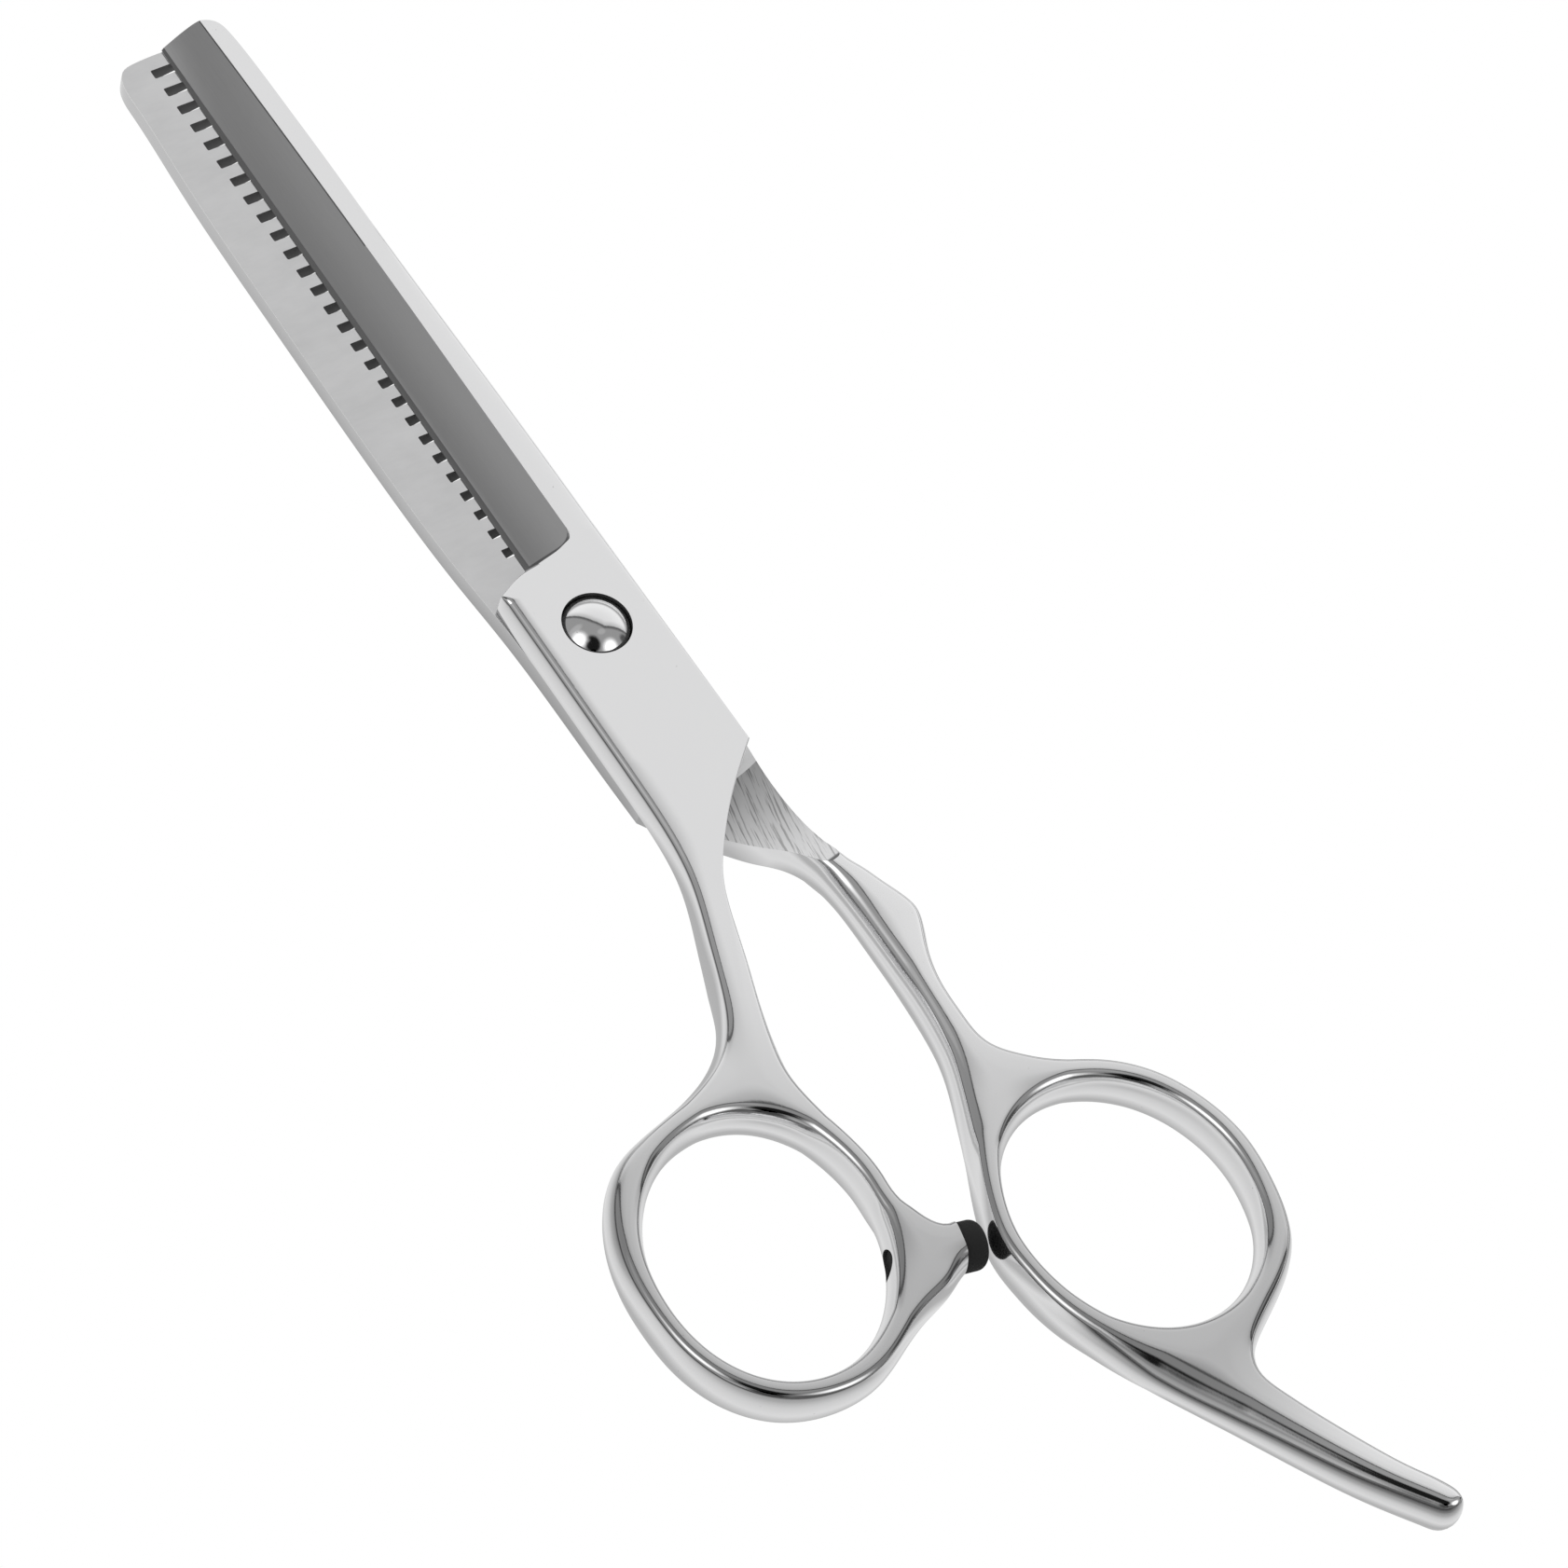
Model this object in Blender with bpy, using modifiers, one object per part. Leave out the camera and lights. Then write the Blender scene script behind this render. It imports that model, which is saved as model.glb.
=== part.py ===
"""Thinning shears: a plain blade over a toothed comb blade, on an adjustable pivot.

Frame: the pivot axis is the Z axis, +Y runs to the blade tips, +X to the finger
ring, and Z = 0 is the bench that the tension nut lies on. Sizes are in
millimetres up to the helpers that make meshes, which turn them into metres.
"""

import math

import bmesh
import bpy
import numpy as np
from mathutils import Matrix

MM = 0.001

# Stack of thicknesses on the pivot, from the bench up
NUT_THICKNESS = 1.5
SPRING_HEIGHT = 0.7
SEAT_GAP = 0.1
REAR_PLATE = 2.3
RIDE_GAP = 0.3
FRONT_PLATE = 2.2

# Main lengths from the pivot: blades up to their tips, shanks down to the rings
BLADE_LENGTH = 70.9
COMB_SETBACK = 0.85
THUMB_REACH = 57.8
FINGER_REACH = 67.9
TANG_LENGTH = 36.3

# The halves in plan
BLOCK_HALF_WIDTH = 6.05
PLATE_SIDE_X = 6.4
BLOCK_TOP_Y = 7.35
BLOCK_END_Y = -16.0
SPINE_X = 5.75
EDGE_X = -1.45
COMB_TIP_Y = BLADE_LENGTH - COMB_SETBACK
COMB_SPINE_X = -7.1
RAMP_START = 17.8
RAMP_END = 29.6
THUMB_RAMP_START = 22.5
THUMB_RAMP_END = 37.0

# Edge radii of the plates
CRISP = 0.15
TIP_ROUND = 0.45
BLOCK_ROUND = 0.6
SHANK_ROUND = 1.3
SIDE_ROUND = 1.1
HOLE_ROUND = 1.1
TANG_ROUND = 2.0

# Finger holes: place across, width, length and lean of the length to the right, degrees
THUMB_OFFSET = 19.9
THUMB_HOLE_WIDTH = 20.1
THUMB_HOLE_LENGTH = 24.4
THUMB_HOLE_LEAN = 19.0
FINGER_OFFSET = 10.0
FINGER_HOLE_WIDTH = 20.6
FINGER_HOLE_LENGTH = 23.4
FINGER_HOLE_LEAN = -4.0

# Centre, half sizes and lean of each hole
THUMB_HOLE = (
    (-THUMB_OFFSET, -THUMB_REACH),
    (THUMB_HOLE_WIDTH / 2, THUMB_HOLE_LENGTH / 2),
    THUMB_HOLE_LEAN,
)
FINGER_HOLE = (
    (FINGER_OFFSET, -FINGER_REACH),
    (FINGER_HOLE_WIDTH / 2, FINGER_HOLE_LENGTH / 2),
    FINGER_HOLE_LEAN,
)

# Grinding of the blades
GRIND_HEEL_Y = 8.5
GRIND_SHOULDER = 1.15
RIDGE_X = 2.9
MICRO_BEVEL_WIDTH = 0.4
MICRO_BEVEL_HEIGHT = 0.27
GRIND_SAGITTA = 0.15
THUMB_TIP_DROP = 1.1
COMB_TIP_DROP = 0.6
TIP_DROP_FROM_Y = 30.0
COMB_RIDGE_X = -2.9
COMB_EDGE_THICKNESS = 1.1

# Teeth of the comb
TOOTH_PITCH = 2.208
TOOTH_GAP_WIDTH = 0.95
FIRST_GAP_Y = 10.75
TIP_LAND = 1.8
ROOT_HEEL_X = -2.25
ROOT_TIP_X = -3.35
ROOT_ROUND = 0.15
TEETH_HEEL_X = 1.95
TEETH_TIP_X = 1.3
NOTCH_RADIUS = 0.3

# Pivot
HEAD_RADIUS = 2.98
HEAD_CROWN = 1.45
HEAD_PROUD = 0.9
HEAD_RIM = 0.1
HEAD_WASHER = 0.25
RECESS_RADIUS = 3.2
NECK_RADIUS = 1.95
BUSH_WALL = 0.4
RUNNING_GAP = 0.08
KEY_WIDTH = 2.9
THREAD_RADIUS = 1.4
THREAD_CHAMFER = 0.25
SPRING_RADIUS = 4.3
SPRING_THICKNESS = 0.35
NUT_RADIUS = 3.8
NUT_CHAMFER = 0.3
NUT_SLOT_WIDTH = 1.2
NUT_SLOT_DEPTH = 0.7

# Bumper and the lug that holds it
BUMPER_RADIUS = 2.15
BUMPER_LENGTH = 1.9
BUMPER_ROUND = 0.7
BUMPER_STEM_RADIUS = 0.9
BUMPER_STEM_LENGTH = 4.5
RING_SIDE = 12.25
BUMPER_GAP = 0.5
LUG_DROP = 6.6
LUG_HALF_WIDTH = 2.05
LUG_X = FINGER_OFFSET - RING_SIDE - BUMPER_GAP - BUMPER_LENGTH
LUG_Y = -THUMB_REACH - LUG_DROP

# Facets
CHORD_ERROR = 0.04
SPAN_SAMPLES = 12
HOLE_FACETS = 44
RAMP_FACETS = 6
ROUND_STEPS = 4
PIN_FACETS = 48
PAST = 2.0

# Heights that follow from the stack
BACK_Z = NUT_THICKNESS + SPRING_HEIGHT + 2 * SEAT_GAP
REAR_RIDE_Z = BACK_Z + REAR_PLATE
FRONT_RIDE_Z = REAR_RIDE_Z + RIDE_GAP
FRONT_Z = FRONT_RIDE_Z + FRONT_PLATE
HEAD_BASE_Z = FRONT_Z + HEAD_PROUD - HEAD_CROWN - HEAD_RIM
RECESS_Z = HEAD_BASE_Z - HEAD_WASHER - 2 * SEAT_GAP
BUMPER_Z = (FRONT_Z + BACK_Z) / 2

STEEL = ((0.79, 0.79, 0.80), 1.0, 0.08)
NYLON = ((0.75, 0.75, 0.72), 0.0, 0.5)
RUBBER = ((0.02, 0.02, 0.022), 0.0, 0.75)


# Plan outlines -------------------------------------------------------------


def ring_node(hole, station, band, edge_radius):
    """A node outside a finger hole: station in degrees round it, band outward."""
    (cx, cy), (half_width, half_length), lean = hole
    across = np.array([math.cos(math.radians(lean)), -math.sin(math.radians(lean))])
    along = np.array([-across[1], across[0]])
    c, s = math.cos(math.radians(station)), math.sin(math.radians(station))
    point = np.array([cx, cy]) + half_width * c * across + half_length * s * along
    outward = c / half_width * across + s / half_length * along
    x, y = point + band * outward / np.linalg.norm(outward)
    return x, y, edge_radius


def beside(hole, across, up, edge_radius):
    """A node placed from the middle of a finger hole."""
    (cx, cy), _, _ = hole
    return cx + across, cy + up, edge_radius


def shank_node(hole, x, share, edge_radius):
    """A node beside a shank, at a share of the way from the block to its finger hole."""
    return x, BLOCK_END_Y + share * (hole[0][1] - BLOCK_END_Y), edge_radius


def tang_node(across, share, edge_radius):
    """A node of the tang: across from the finger hole, at a share of the tang's length."""
    return beside(FINGER_HOLE, across, -share * TANG_LENGTH, edge_radius)


def smooth_run(nodes):
    """Samples of the C2 cubic spline through a run of (x, y, edge radius) nodes."""
    nodes = np.array(nodes, float)
    count = len(nodes)
    if count == 2:
        return nodes
    spans = np.linalg.norm(np.diff(nodes[:, :2], axis=0), axis=1)
    matrix = np.eye(count)
    slopes = np.diff(nodes, axis=0) / spans[:, None]
    target = np.zeros_like(nodes)
    for i in range(1, count - 1):
        matrix[i, i - 1 : i + 2] = spans[i - 1], 2 * (spans[i - 1] + spans[i]), spans[i]
        target[i] = 6 * (slopes[i] - slopes[i - 1])
    bends = np.linalg.solve(matrix, target)
    samples = []
    for i, span in enumerate(spans):
        for t in np.arange(SPAN_SAMPLES) / SPAN_SAMPLES:
            a, b = 1 - t, t
            bend = (a**3 - a) * bends[i] + (b**3 - b) * bends[i + 1]
            samples.append(a * nodes[i] + b * nodes[i + 1] + bend * span**2 / 6)
    samples.append(nodes[-1])
    return thinned(np.array(samples))


def chord_error(samples):
    """How far the samples between the first and the last stand off their chord."""
    chord = samples[-1] - samples[0]
    offsets = samples - samples[0]
    along = offsets @ chord / (chord @ chord)
    return np.linalg.norm(offsets - along[:, None] * chord, axis=1).max()


def thinned(samples):
    """The samples of a run that its bends and its changes of edge radius need."""
    kept = [0]
    for i in range(2, len(samples)):
        if chord_error(samples[kept[-1] : i + 1]) > CHORD_ERROR:
            kept.append(i - 1)
    return samples[kept + [len(samples) - 1]]


def outline(*runs):
    """One closed outline from smooth runs, each ending where the next begins."""
    return np.concatenate([smooth_run(run)[:-1] for run in runs])


def hole_outline(hole, edge_radius):
    """A finger hole, clockwise, so that the metal is on its left as on an outline."""
    stations = 360 * np.arange(HOLE_FACETS, 0, -1) / HOLE_FACETS
    return np.array([ring_node(hole, s, 0.0, edge_radius) for s in stations])


def inset(loop, distances):
    """The loop moved to its left, by a distance of its own at each point."""
    edges = np.roll(loop, -1, axis=0)[:, :2] - loop[:, :2]
    edges /= np.linalg.norm(edges, axis=1)[:, None]
    left = np.stack([-edges[:, 1], edges[:, 0]], axis=1)
    before = np.roll(left, 1, axis=0)
    mitre = (left + before) / (1 + np.sum(left * before, axis=1))[:, None]
    return loop[:, :2] + mitre * distances[:, None]


def thumb_outline():
    """Plain blade, block, shank, thumb ring and bumper lug, counterclockwise."""
    blade = BLADE_LENGTH
    lug = (LUG_X + SIDE_ROUND, LUG_Y - LUG_HALF_WIDTH, SIDE_ROUND)
    lug_top = (LUG_X + SIDE_ROUND, LUG_Y + LUG_HALF_WIDTH, SIDE_ROUND)
    block_corner = (SPINE_X - 0.1, -15.6, CRISP)
    tip_corner = (EDGE_X + 0.15, blade - 0.75, CRISP)
    heel = (EDGE_X, BLOCK_TOP_Y, CRISP)
    block_top_corner = (-BLOCK_HALF_WIDTH, BLOCK_TOP_Y - 1.45, CRISP)
    return outline(
        [block_corner, (SPINE_X, GRIND_HEEL_Y, BLOCK_ROUND)],
        [
            (SPINE_X, GRIND_HEEL_Y, BLOCK_ROUND),
            (SPINE_X - 0.1, 20, BLOCK_ROUND),
            (SPINE_X - 0.5, 40, BLOCK_ROUND),
            (SPINE_X - 0.9, blade - 12.5, TIP_ROUND),
            (SPINE_X - 0.95, blade - 5.25, TIP_ROUND),
            (SPINE_X - 1.1, blade - 2.35, TIP_ROUND),
            (SPINE_X - 1.6, blade - 0.65, TIP_ROUND),
            (SPINE_X - 2.7, blade, TIP_ROUND),
            (SPINE_X - 4.0, blade, TIP_ROUND),
            tip_corner,
        ],
        [tip_corner, (EDGE_X, blade - 8.75, CRISP)],
        [(EDGE_X, blade - 8.75, CRISP), heel],
        [
            heel,
            (EDGE_X - 1.5, BLOCK_TOP_Y - 0.2, CRISP),
            (EDGE_X - 2.9, BLOCK_TOP_Y - 0.65, CRISP),
            (-BLOCK_HALF_WIDTH + 0.45, BLOCK_TOP_Y - 1.25, CRISP),
            block_top_corner,
        ],
        [
            block_top_corner,
            (-BLOCK_HALF_WIDTH, BLOCK_TOP_Y - 1.8, 0.45),
            (-BLOCK_HALF_WIDTH, BLOCK_TOP_Y - 2.4, BLOCK_ROUND),
        ],
        [
            (-BLOCK_HALF_WIDTH, BLOCK_TOP_Y - 2.4, BLOCK_ROUND),
            (-BLOCK_HALF_WIDTH, -13, BLOCK_ROUND),
        ],
        [
            (-BLOCK_HALF_WIDTH, -13, BLOCK_ROUND),
            shank_node(THUMB_HOLE, -6.1, 0.048, BLOCK_ROUND),
            shank_node(THUMB_HOLE, -6.85, 0.215, BLOCK_ROUND),
            shank_node(THUMB_HOLE, -8.55, 0.344, BLOCK_ROUND),
            shank_node(THUMB_HOLE, -10.15, 0.452, BLOCK_ROUND),
            shank_node(THUMB_HOLE, -12.65, 0.555, SIDE_ROUND),
            shank_node(THUMB_HOLE, -15.5, 0.608, SIDE_ROUND),
            ring_node(THUMB_HOLE, 120, 2.6, SIDE_ROUND),
            ring_node(THUMB_HOLE, 140, 3.25, SIDE_ROUND),
            ring_node(THUMB_HOLE, 160, 3.2, SIDE_ROUND),
            ring_node(THUMB_HOLE, 180, 2.7, SIDE_ROUND),
            ring_node(THUMB_HOLE, 200, 2.05, SIDE_ROUND),
            ring_node(THUMB_HOLE, 220, 2.05, SIDE_ROUND),
            ring_node(THUMB_HOLE, 240, 2.2, SIDE_ROUND),
            ring_node(THUMB_HOLE, 260, 2.3, SIDE_ROUND),
            ring_node(THUMB_HOLE, 280, 2.35, SIDE_ROUND),
            ring_node(THUMB_HOLE, 300, 2.6, SIDE_ROUND),
            ring_node(THUMB_HOLE, 320, 2.75, SIDE_ROUND),
            (LUG_X - 5.6, LUG_Y - LUG_HALF_WIDTH - 2.3, SIDE_ROUND),
            (LUG_X - 2.6, LUG_Y - LUG_HALF_WIDTH - 1.2, SIDE_ROUND),
            lug,
        ],
        [lug, lug_top],
        [
            lug_top,
            (LUG_X - 0.7, LUG_Y + LUG_HALF_WIDTH + 1.1, SIDE_ROUND),
            (LUG_X - 1.7, LUG_Y + LUG_HALF_WIDTH + 2.5, SIDE_ROUND),
            (LUG_X - 2.35, LUG_Y + LUG_HALF_WIDTH + 4.3, SIDE_ROUND),
            ring_node(THUMB_HOLE, 22, 2.25, SIDE_ROUND),
            ring_node(THUMB_HOLE, 40, 2.4, SIDE_ROUND),
            shank_node(THUMB_HOLE, -8.2, 0.813, SIDE_ROUND),
            shank_node(THUMB_HOLE, -8.75, 0.742, SIDE_ROUND),
            shank_node(THUMB_HOLE, -8.9, 0.689, SIDE_ROUND),
            shank_node(THUMB_HOLE, -8.45, 0.620, SIDE_ROUND),
            shank_node(THUMB_HOLE, -7.65, 0.524, 0.7),
            shank_node(THUMB_HOLE, -6.65, 0.443, 0.5),
            shank_node(THUMB_HOLE, -5.65, 0.356, 0.3),
            shank_node(THUMB_HOLE, -4.65, 0.280, CRISP),
            shank_node(THUMB_HOLE, -3.6, 0.230, CRISP),
            shank_node(THUMB_HOLE, -2, 0.177, CRISP),
            shank_node(THUMB_HOLE, 0.1, 0.117, CRISP),
            block_corner,
        ],
    )


def comb_outline():
    """Comb blade, ride plate, shank, finger ring and tang, counterclockwise."""
    heel = (TEETH_HEEL_X, BLOCK_TOP_Y, CRISP)
    tooth_corner = (TEETH_TIP_X, COMB_TIP_Y - 0.1, CRISP)
    plate_corner = (-5.5, -16.5, CRISP)
    return outline(
        [
            tang_node(5.95, 0.967, TANG_ROUND),
            tang_node(7.2, 0.999, 1.5),
            tang_node(8.65, 1.000, 1.3),
            tang_node(9.35, 0.972, 1.3),
            tang_node(8.9, 0.934, 1.2),
            tang_node(7.2, 0.857, 1.2),
            tang_node(5.3, 0.763, 1.2),
            tang_node(3.3, 0.658, 1.2),
            tang_node(1.5, 0.554, SIDE_ROUND),
            tang_node(0.95, 0.496, SIDE_ROUND),
            tang_node(1.7, 0.446, SIDE_ROUND),
            tang_node(3.3, 0.408, SIDE_ROUND),
            ring_node(FINGER_HOLE, -60, 2.85, SIDE_ROUND),
            ring_node(FINGER_HOLE, -40, 3.0, SIDE_ROUND),
            ring_node(FINGER_HOLE, -20, 2.4, SIDE_ROUND),
            ring_node(FINGER_HOLE, 0, 2.35, SIDE_ROUND),
            ring_node(FINGER_HOLE, 20, 2.3, SIDE_ROUND),
            ring_node(FINGER_HOLE, 40, 2.45, SIDE_ROUND),
            ring_node(FINGER_HOLE, 60, 2.6, SIDE_ROUND),
            shank_node(FINGER_HOLE, 11.3, 0.707, SIDE_ROUND),
            shank_node(FINGER_HOLE, 9.6, 0.680, SIDE_ROUND),
            shank_node(FINGER_HOLE, 8, 0.642, SIDE_ROUND),
            shank_node(FINGER_HOLE, 7.65, 0.588, SIDE_ROUND),
            shank_node(FINGER_HOLE, 7.75, 0.526, SIDE_ROUND),
            shank_node(FINGER_HOLE, 8.6, 0.459, SIDE_ROUND),
            shank_node(FINGER_HOLE, 9.65, 0.412, SIDE_ROUND),
            shank_node(FINGER_HOLE, 10, 0.383, SIDE_ROUND),
            shank_node(FINGER_HOLE, 9.7, 0.355, SIDE_ROUND),
            shank_node(FINGER_HOLE, 8.75, 0.312, SIDE_ROUND),
            shank_node(FINGER_HOLE, 7.85, 0.272, SIDE_ROUND),
            shank_node(FINGER_HOLE, 7.3, 0.252, SIDE_ROUND),
            shank_node(FINGER_HOLE, 6.65, 0.233, BLOCK_ROUND),
            shank_node(FINGER_HOLE, 6.3, 0.208, BLOCK_ROUND),
            shank_node(FINGER_HOLE, 6.08, 0.173, BLOCK_ROUND),
            shank_node(FINGER_HOLE, 6, 0.116, BLOCK_ROUND),
            shank_node(FINGER_HOLE, 6.12, 0.042, BLOCK_ROUND),
            (PLATE_SIDE_X, -14, BLOCK_ROUND),
        ],
        [(PLATE_SIDE_X, -14, BLOCK_ROUND), (PLATE_SIDE_X, BLOCK_TOP_Y - 5, BLOCK_ROUND)],
        [
            (PLATE_SIDE_X, BLOCK_TOP_Y - 5, BLOCK_ROUND),
            (PLATE_SIDE_X, BLOCK_TOP_Y - 1.9, 0.6),
            (PLATE_SIDE_X - 0.2, BLOCK_TOP_Y - 1.1, 0.3),
            (PLATE_SIDE_X - 0.7, BLOCK_TOP_Y - 0.65, CRISP),
            (TEETH_HEEL_X + 1.5, BLOCK_TOP_Y - 0.2, CRISP),
            heel,
        ],
        [heel, tooth_corner],
        [
            tooth_corner,
            (EDGE_X, COMB_TIP_Y, TIP_ROUND),
            (COMB_SPINE_X + 2.9, COMB_TIP_Y - 0.1, TIP_ROUND),
            (COMB_SPINE_X + 1.4, COMB_TIP_Y - 0.55, TIP_ROUND),
            (COMB_SPINE_X + 0.8, COMB_TIP_Y - 1.65, TIP_ROUND),
            (COMB_SPINE_X + 0.6, COMB_TIP_Y - 4, TIP_ROUND),
            (COMB_SPINE_X + 0.25, COMB_TIP_Y - 13, TIP_ROUND),
            (COMB_SPINE_X, 42, TIP_ROUND),
            (COMB_SPINE_X, 22, TIP_ROUND),
            (COMB_SPINE_X + 0.25, 11, TIP_ROUND),
            (-6.25, 0, TIP_ROUND),
            (-5.85, -10, TIP_ROUND),
            plate_corner,
        ],
        [
            plate_corner,
            shank_node(FINGER_HOLE, -4.6, 0.040, 0.4),
            shank_node(FINGER_HOLE, -0.45, 0.131, 0.45),
            shank_node(FINGER_HOLE, 1.2, 0.164, 0.5),
            shank_node(FINGER_HOLE, 3, 0.200, 0.8),
            shank_node(FINGER_HOLE, 4, 0.239, 1.1),
            shank_node(FINGER_HOLE, 4.4, 0.279, SHANK_ROUND),
            shank_node(FINGER_HOLE, 4.62, 0.383, SHANK_ROUND),
            shank_node(FINGER_HOLE, 4.62, 0.461, SHANK_ROUND),
            shank_node(FINGER_HOLE, 4.33, 0.576, SHANK_ROUND),
            shank_node(FINGER_HOLE, 3.9, 0.628, SHANK_ROUND),
            shank_node(FINGER_HOLE, 2.25, 0.721, SHANK_ROUND),
            shank_node(FINGER_HOLE, 0.8, 0.790, SHANK_ROUND),
            beside(FINGER_HOLE, -10.5, 7.7, 1.1),
            beside(FINGER_HOLE, -11.7, 4.6, 1.0),
            beside(FINGER_HOLE, -12.4, 1.9, 1.0),
            beside(FINGER_HOLE, -12.3, -1.2, 1.0),
            beside(FINGER_HOLE, -11.65, -5.2, 1.4),
            beside(FINGER_HOLE, -10.1, -9.5, 1.7),
            beside(FINGER_HOLE, -8.55, -12.8, TANG_ROUND),
            tang_node(-3.6, 0.579, TANG_ROUND),
            tang_node(-0.5, 0.718, TANG_ROUND),
            tang_node(2.3, 0.837, TANG_ROUND),
            tang_node(5.95, 0.967, TANG_ROUND),
        ],
    )


# Mesh helpers --------------------------------------------------------------


def collection(name):
    made = bpy.data.collections.new(name)
    bpy.context.scene.collection.children.link(made)
    return made


def finish_mesh(name, bm, group):
    """Scales a bmesh from millimetres to metres and links it as an object."""
    bmesh.ops.scale(bm, vec=(MM, MM, MM), verts=bm.verts)
    bmesh.ops.recalc_face_normals(bm, faces=bm.faces)
    mesh = bpy.data.meshes.new(name)
    bm.to_mesh(mesh)
    bm.free()
    made = bpy.data.objects.new(name, mesh)
    group.objects.link(made)
    return made


def add_loop(bm, points, heights):
    return [bm.verts.new((x, y, z)) for (x, y), z in zip(points, heights)]


def join_loops(bm, low, high):
    for i in range(len(low)):
        j = (i + 1) % len(low)
        bm.faces.new((low[i], low[j], high[j], high[i]))


def cap_loops(bm, loops):
    edges = [bm.edges.get((loop[i - 1], loop[i])) for loop in loops for i in range(len(loop))]
    bmesh.ops.triangle_fill(bm, use_beauty=True, use_dissolve=False, edges=edges)


def rounded_plate(name, loops, low, high, group):
    """A plate over plan loops, its edges rounded by the radius that each point holds."""
    bm = bmesh.new()
    bottoms, tops = [], []
    turns = [math.pi / 2 * k / ROUND_STEPS for k in range(ROUND_STEPS + 1)]
    for loop in loops:
        radii = np.minimum(loop[:, 2], (high - low) / 2 - CRISP)
        rings = []
        for turn in reversed(turns):
            heights = low + radii * (1 - math.sin(turn))
            rings.append(add_loop(bm, inset(loop, radii * (1 - math.cos(turn))), heights))
        for turn in turns:
            heights = high - radii * (1 - math.sin(turn))
            rings.append(add_loop(bm, inset(loop, radii * (1 - math.cos(turn))), heights))
        for lower, upper in zip(rings, rings[1:]):
            join_loops(bm, lower, upper)
        bottoms.append(rings[0])
        tops.append(rings[-1])
    cap_loops(bm, bottoms)
    cap_loops(bm, tops)
    return finish_mesh(name, bm, group)


def add_prism(bm, points, low, high):
    """A straight prism over a plan outline, between two heights."""
    lower = add_loop(bm, points, [low] * len(points))
    upper = add_loop(bm, points, [high] * len(points))
    join_loops(bm, lower, upper)
    bm.faces.new(lower)
    bm.faces.new(upper)


def prism(name, points, low, high, group):
    bm = bmesh.new()
    add_prism(bm, points, low, high)
    return finish_mesh(name, bm, group)


def turned(name, profile, group):
    """A body of revolution about Z from (radius, height) points, top to bottom outside."""
    mesh = bpy.data.meshes.new(name)
    points = [(r * MM, 0.0, z * MM) for r, z in profile]
    edges = [(i, i + 1) for i in range(len(points) - 1)]
    if profile[0][0] > 0:
        edges.append((len(points) - 1, 0))
    mesh.from_pydata(points, edges, [])
    made = bpy.data.objects.new(name, mesh)
    group.objects.link(made)
    screw = made.modifiers.new("turn", "SCREW")
    screw.steps = PIN_FACETS
    screw.render_steps = PIN_FACETS
    screw.use_merge_vertices = True
    screw.merge_threshold = 0.00001
    screw.use_smooth_shade = True
    return made


def cylinder(name, radius, low, high, group):
    return turned(name, [(0, high), (radius, high), (radius, low), (0, low)], group)


def boolean(part, cutter, operation="DIFFERENCE"):
    step = part.modifiers.new(cutter.name, "BOOLEAN")
    step.operation = operation
    step.object = cutter
    step.solver = "EXACT"
    cutter.hide_render = True
    cutter.display_type = "WIRE"


def finish(part, name, look):
    """Gives a part its material and smooth shading between its real edges."""
    (red, green, blue), metallic, roughness = look
    material = bpy.data.materials.new(name)
    material.use_nodes = True
    shader = material.node_tree.nodes["Principled BSDF"]
    shader.inputs["Base Color"].default_value = (red, green, blue, 1.0)
    shader.inputs["Metallic"].default_value = metallic
    shader.inputs["Roughness"].default_value = roughness
    part.data.materials.append(material)
    part.data.shade_smooth()
    part.data.set_sharp_from_angle(angle=math.radians(35))


# Cuts ----------------------------------------------------------------------


def ride_relief(name, start, end, ride_z, rim_z, group):
    """The space that the other half turns in, with a hollow ramp round its rim.

    The flat floor at ride_z runs to the start radius and past the blade tips; from
    there a hollow ramp round the pivot reaches rim_z at the end radius.
    """
    run = end - start
    profile = [(0.0, ride_z)]
    for k in range(RAMP_FACETS + 1):
        profile.append((start + run * k / RAMP_FACETS, ride_z + (rim_z - ride_z) * (k / RAMP_FACETS) ** 2))
    beyond_z = rim_z + math.copysign(PAST, rim_z - ride_z)
    profile.append((end + 0.4 * run, beyond_z))
    profile.append((0.0, beyond_z))
    bm = bmesh.new()
    rows = []
    reach = BLADE_LENGTH + PAST
    for angle, offset in [(180, reach)] + [(a, 0.0) for a in range(180, 361, 5)] + [(360, reach)]:
        c, s = math.cos(math.radians(angle)), math.sin(math.radians(angle))
        rows.append([bm.verts.new((r * c, r * s + offset, z)) for r, z in profile])
    for near, far in zip(rows, rows[1:]):
        for i in range(len(profile) - 1):
            bm.faces.new((near[i], near[i + 1], far[i + 1], far[i]))
    bm.faces.new(rows[0])
    bm.faces.new(rows[-1])
    bmesh.ops.remove_doubles(bm, verts=bm.verts, dist=0.001)
    return finish_mesh(name, bm, group)


def face_height(y, face_z, drop):
    """The height at y of a blade's outer face, which falls by drop to the tip."""
    run = BLADE_LENGTH - TIP_DROP_FROM_Y
    return face_z - drop * max(0.0, (y - TIP_DROP_FROM_Y) / run) ** 2


def blade_stations(start):
    return list(np.linspace(start, BLADE_LENGTH + PAST, 13))


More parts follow.
